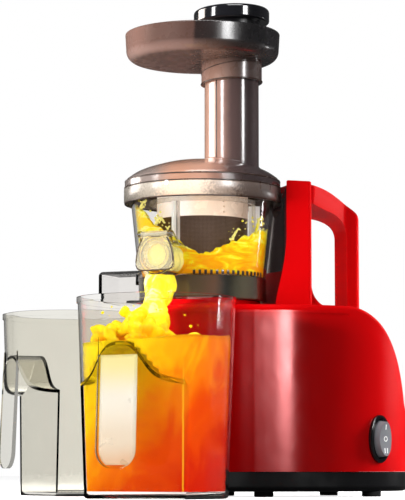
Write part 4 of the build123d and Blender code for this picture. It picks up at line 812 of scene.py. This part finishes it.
balls = []
start = spout(85.0, -19.0) + RIGHT * 3.0
land = JUGS["juice_jug"][0] + RIGHT * -13 + VIEW * 6
for i in range(26):
    f = i / 25
    x = start.lerp(Vector((land.x, land.y, 128)), f ** 1.4)
    p = Vector((x.x, x.y, start.z + (128 - start.z) * f))
    wide = 8.0 + 2.6 * f
    balls += [(p, wide), (p + RIGHT * (7.5 + 4 * f) * math.sin(4 * f + 1), wide * 0.72), (p - RIGHT * (7.5 + 5.5 * f) * math.cos(4 * f), wide * 0.70)]
for i in range(16):
    f = rng.random()
    balls.append((Vector((start.x, start.y, start.z)).lerp(Vector((land.x, land.y, 130)), f) + RIGHT * rng.uniform(-13, 13) + VIEW * rng.uniform(-5, 6), rng.uniform(0.7, 1.4)))


def below_spout(p):
    if p.z > 183.6:
        p = Vector((p.x, p.y, 183.6 + (p.z - 183.6) * 0.05))
    q = inside_jug(p)
    k = min(1.0, max(0.0, (172.0 - p.z) / 10.0))     # drawn in over the jug before it passes the rim
    return Vector((p.x + (q.x - p.x) * k, p.y + (q.y - p.y) * k, p.z))


pour = lump_mesh("juice_pour", balls, 1.0, 1.5, 0.12, below_spout)
place(cut_at(pour, 162.5, True), "juice_pour", "juice_splash", "bowl")
place(cut_at(pour, 162.1, False), "juice_pour_in_jug", "juice_splash", "juice_jug")

# ------------------------------------------------------------------ juice thrown round the bowl's wall
TOPS = [(-180, 222), (-140, 236), (-110, 246), (-90, 250), (-70, 248), (-60, 243), (-52, 234), (-45, 229), (-38, 226), (-28, 219), (-20, 216),
        (-14, 212), (-7, 207), (2, 205), (10, 208), (18, 211), (28, 215), (38, 218), (50, 222), (66, 227), (90, 229), (130, 224), (180, 222)]


def top_at(alpha):
    for (a, za), (b, zb) in zip(TOPS, TOPS[1:]):
        if a <= alpha <= b:
            k = (alpha - a) / (b - a)
            k = k * k * (3 - 2 * k)
            z = za + (zb - za) * k
            break
    w = math.radians(alpha)
    v = Vector((math.cos(w), math.sin(w), 0))
    z += 3.4 * noise.noise(v * 4.5) + 2.2 * noise.noise(v * 11.0) + 1.2 * noise.noise(v * 27.0)
    return z


def wall_r(z):
    return 52.5 + (min(z, 258.0) - 187.0) * (7.5 / 71.0)


steps, rows = 360, 22
verts, faces = [], []
for i in range(steps):
    alpha = -180 + 360 * i / steps
    zt = top_at(alpha)
    loop = []
    for k in range(rows + 1):
        z = 187.3 + (zt - 187.3) * k / rows
        ripple = 0.35 * noise.noise(Vector((math.radians(alpha) * 3, z * 0.13, 3)))
        loop.append((wall_r(z) - 0.45 - max(0.0, ripple), z))
    for k in range(rows, -1, -1):
        z = 187.3 + (zt - 1.6 - 187.3) * k / rows
        deep = 2.6 + 1.6 * noise.noise(Vector((math.radians(alpha) * 5, z * 0.1, 9)))
        loop.append((max(50.35, wall_r(z) - 0.45 - max(0.9, deep)), z))
    a = math.radians(alpha)
    d = VIEW * math.cos(a) + RIGHT * math.sin(a)
    verts += [(d.x * r, d.y * r, z) for r, z in loop]
K = 2 * (rows + 1)
for i in range(steps):
    j = (i + 1) % steps
    for q in range(K):
        faces.append((i * K + q, j * K + q, j * K + (q + 1) % K, i * K + (q + 1) % K))
put("juice_round_bowl", verts, faces, "juice_bowl_painted_light", "bowl")

balls = []
for i in range(54):
    alpha = rng.choice((rng.uniform(-75, -30), rng.uniform(22, 72)))
    z = top_at(alpha) + rng.uniform(1.5, 13.0)
    p, _ = on_circle(alpha, min(wall_r(z) - 2.2, 56.5), z)
    balls.append((p, rng.uniform(0.55, 1.35)))
for start_a, end_a, lift in ((28, 36, 9), (56, 66, 10), (-46, -34, 8), (-66, -58, 7)):
    for i in range(14):
        f = i / 13
        alpha = start_a + (end_a - start_a) * f
        z = top_at(alpha) + lift * math.sin(f * 2.4)
        p, _ = on_circle(alpha, wall_r(z) - 2.3, z)
        balls.append((p, 1.5 - 0.7 * f))


def inside_bowl(p):
    r = math.hypot(p.x, p.y)
    k = min(max(r, 50.8), wall_r(p.z) - 0.5) / r
    return Vector((p.x * k, p.y * k, p.z))


liquid_lumps("juice_drops_in_bowl", balls, 0.45, "juice_splash", "bowl", rough=0.5, scale=0.5, keep=inside_bowl)

# ------------------------------------------------------------------ floor, light, camera
def seen_directly(nt):
    """1 where a ray comes straight from the camera or through something clear, 0 for light and reflections."""
    lp = nt.nodes.new("ShaderNodeLightPath")
    m = nt.nodes.new("ShaderNodeMath")
    m.operation = "MAXIMUM"
    nt.links.new(lp.outputs["Is Camera Ray"], m.inputs[0])
    straight = nt.nodes.new("ShaderNodeMath")          # light that was mirrored inside a clear wall doesn't count
    straight.operation = "SUBTRACT"
    straight.use_clamp = True
    nt.links.new(lp.outputs["Is Transmission Ray"], straight.inputs[0])
    nt.links.new(lp.outputs["Glossy Depth"], straight.inputs[1])
    nt.links.new(straight.outputs[0], m.inputs[1])
    return m.outputs[0], lp


floor_mat = Mat("studio_floor")
direct, lp = seen_directly(floor_mat.nt)
floor_mat.colour(floor_mat.mix(direct, floor_mat.mix(lp.outputs["Is Glossy Ray"], (0.16, 0.16, 0.16), (0.03, 0.03, 0.03)), floor_mat.mix(floor_mat.noise(4.0), (0.78, 0.78, 0.78), (0.82, 0.82, 0.82))))
floor_mat.set(Roughness=0.8, Specular_IOR_Level=0.1)
floor_mat.p.inputs["Emission Color"].default_value = (1.0, 1.0, 1.0, 1.0)
floor_mat.link(floor_mat.span(direct, 0, 1, 0.03, 0.80), floor_mat.p.inputs["Emission Strength"])
me = bpy.data.meshes.new("floor")
me.from_pydata([(-5, -5, 0), (5, -5, 0), (5, 5, 0), (-5, 5, 0)], [], [(0, 1, 2, 3)])
me.materials.append(floor_mat.mat)
floor = bpy.data.objects.new("floor", me)
bpy.context.scene.collection.objects.link(floor)

world = bpy.data.worlds.new("studio")
bpy.context.scene.world = world
world.use_nodes = True
nt = world.node_tree
bg = nt.nodes["Background"]
bg.inputs[0].default_value = (1.0, 1.0, 1.0, 1.0)
direct, lp = seen_directly(nt)
dim = nt.nodes.new("ShaderNodeMapRange")          # soft room light for matt surfaces, a darker room in reflections
dim.inputs["To Min"].default_value, dim.inputs["To Max"].default_value = 0.04, 0.16
nt.links.new(lp.outputs["Is Diffuse Ray"], dim.inputs["Value"])
top = nt.nodes.new("ShaderNodeMath")
top.operation = "MAXIMUM"
nt.links.new(direct, top.inputs[0])
nt.links.new(dim.outputs["Result"], top.inputs[1])
inside = nt.nodes.new("ShaderNodeMapRange")       # reflections inside clear walls see a lighter room
inside.inputs["From Min"].default_value, inside.inputs["From Max"].default_value = 0.0, 1.0
inside.inputs["To Min"].default_value, inside.inputs["To Max"].default_value = 0.0, 0.40
nt.links.new(lp.outputs["Transmission Depth"], inside.inputs["Value"])
most = nt.nodes.new("ShaderNodeMath")
most.operation = "MAXIMUM"
nt.links.new(top.outputs[0], most.inputs[0])
nt.links.new(inside.outputs["Result"], most.inputs[1])
nt.links.new(most.outputs[0], bg.inputs[1])


def softbox(name, azimuth, z0, z1, distance, width, power, colour=(1, 1, 1), aim=0.2, diffuse=True, glossy=True, only=None, without=None):
    """azimuth is the plan angle of the light from +X; it stands upright and faces the object's middle."""
    a = math.radians(azimuth)
    data = bpy.data.lights.new(name, "AREA")
    data.shape, data.size, data.size_y = "RECTANGLE", width, z1 - z0
    data.energy, data.color = power, colour
    ob = bpy.data.objects.new(name, data)
    ob.location = (math.cos(a) * distance, math.sin(a) * distance, (z0 + z1) / 2)
    flat = Vector((0, 0.03, (z0 + z1) / 2 if aim is None else aim)) - ob.location
    ob.rotation_euler = flat.to_track_quat("-Z", "Y").to_euler()
    ob.visible_diffuse, ob.visible_glossy, ob.visible_transmission, ob.visible_camera = diffuse, glossy, False, False
    if only or without:
        lit = bpy.data.collections.new(name + "_lights")
        for node in only or without:
            lit.objects.link(NODES[node])
        ob.light_linking.receiver_collection = lit
        for entry in lit.collection_objects:
            entry.light_linking.link_state = "INCLUDE" if only else "EXCLUDE"
    bpy.context.scene.collection.objects.link(ob)


# narrow boxes that only show as reflections
RED_NODES = ("upper_housing", "lower_housing")
softbox("key_low", -3.5, 0.12, 0.36, 1.35, 0.27, 17.0, aim=None, diffuse=False, only=("lower_housing",))
softbox("red_right", 97.0, 0.1, 0.9, 1.4, 0.7, 55.0, aim=None, glossy=False, only=RED_NODES)
softbox("red_left", -66.0, 0.0, 0.40, 1.4, 0.7, 62.0, aim=None, glossy=False, only=RED_NODES)
softbox("right_tall", 17.0, 0.46, 1.15, 1.30, 0.36, 24.0, aim=None, diffuse=False, without=RED_NODES)
softbox("left_tall", -91.0, 0.45, 1.15, 1.30, 0.22, 12.0, aim=None, diffuse=False, without=(*RED_NODES, "hopper_tray", "tower_front_panel"))
softbox("left_back", -135.0, 0.30, 1.0, 1.2, 0.55, 14.0, (1.0, 0.90, 0.83), aim=None, diffuse=False, without=(*RED_NODES, "hopper_tray", "tower_front_panel"))
softbox("tray_side", -104.0, 0.6, 1.3, 1.3, 0.5, 5.0, (1.0, 0.92, 0.86), aim=None, diffuse=False, only=("hopper_tray",))
softbox("jug_glint", 93.0, 0.17, 0.27, 1.3, 0.09, 0.9, aim=None, diffuse=False, without=RED_NODES)
# wide soft boxes that only light
softbox("fill_left", -72.0, 0.1, 1.0, 1.4, 0.9, 36.0, aim=None, glossy=False, without=RED_NODES)
softbox("fill_right", 97.0, 0.1, 1.0, 1.4, 0.9, 34.0, aim=None, glossy=False, without=RED_NODES)
softbox("fill_back", 200.0, 0.1, 1.0, 1.4, 0.9, 12.0, aim=None, glossy=False, without=RED_NODES)
softbox("top", -20.0, 1.45, 1.5, 0.6, 0.8, 13.0, without=RED_NODES)
softbox("top_red", -20.0, 1.45, 1.5, 0.6, 0.8, 4.5, glossy=False, only=RED_NODES)
bpy.data.lights["top"].size_y = bpy.data.lights["top_red"].size_y = 0.8

cam_data = bpy.data.cameras.new("camera")
cam_data.sensor_width = 36.0
CAM_AZ, CAM_D, CAM_H, CAM_Z, CAM_F = 70.4, 1.90, 0.024, 0.2122, 2205.0
cam_data.lens = CAM_F * 36.0 / 500.0
cam = bpy.data.objects.new("camera", cam_data)
a = math.radians(CAM_AZ)
cam.location = (math.sin(a) * CAM_D, -math.cos(a) * CAM_D, CAM_H)
cam.rotation_euler = (Vector((0, 0, CAM_Z)) - cam.location).to_track_quat("-Z", "Y").to_euler()
bpy.context.scene.collection.objects.link(cam)
bpy.context.scene.camera = cam
bpy.context.scene.view_settings.view_transform = "Standard"
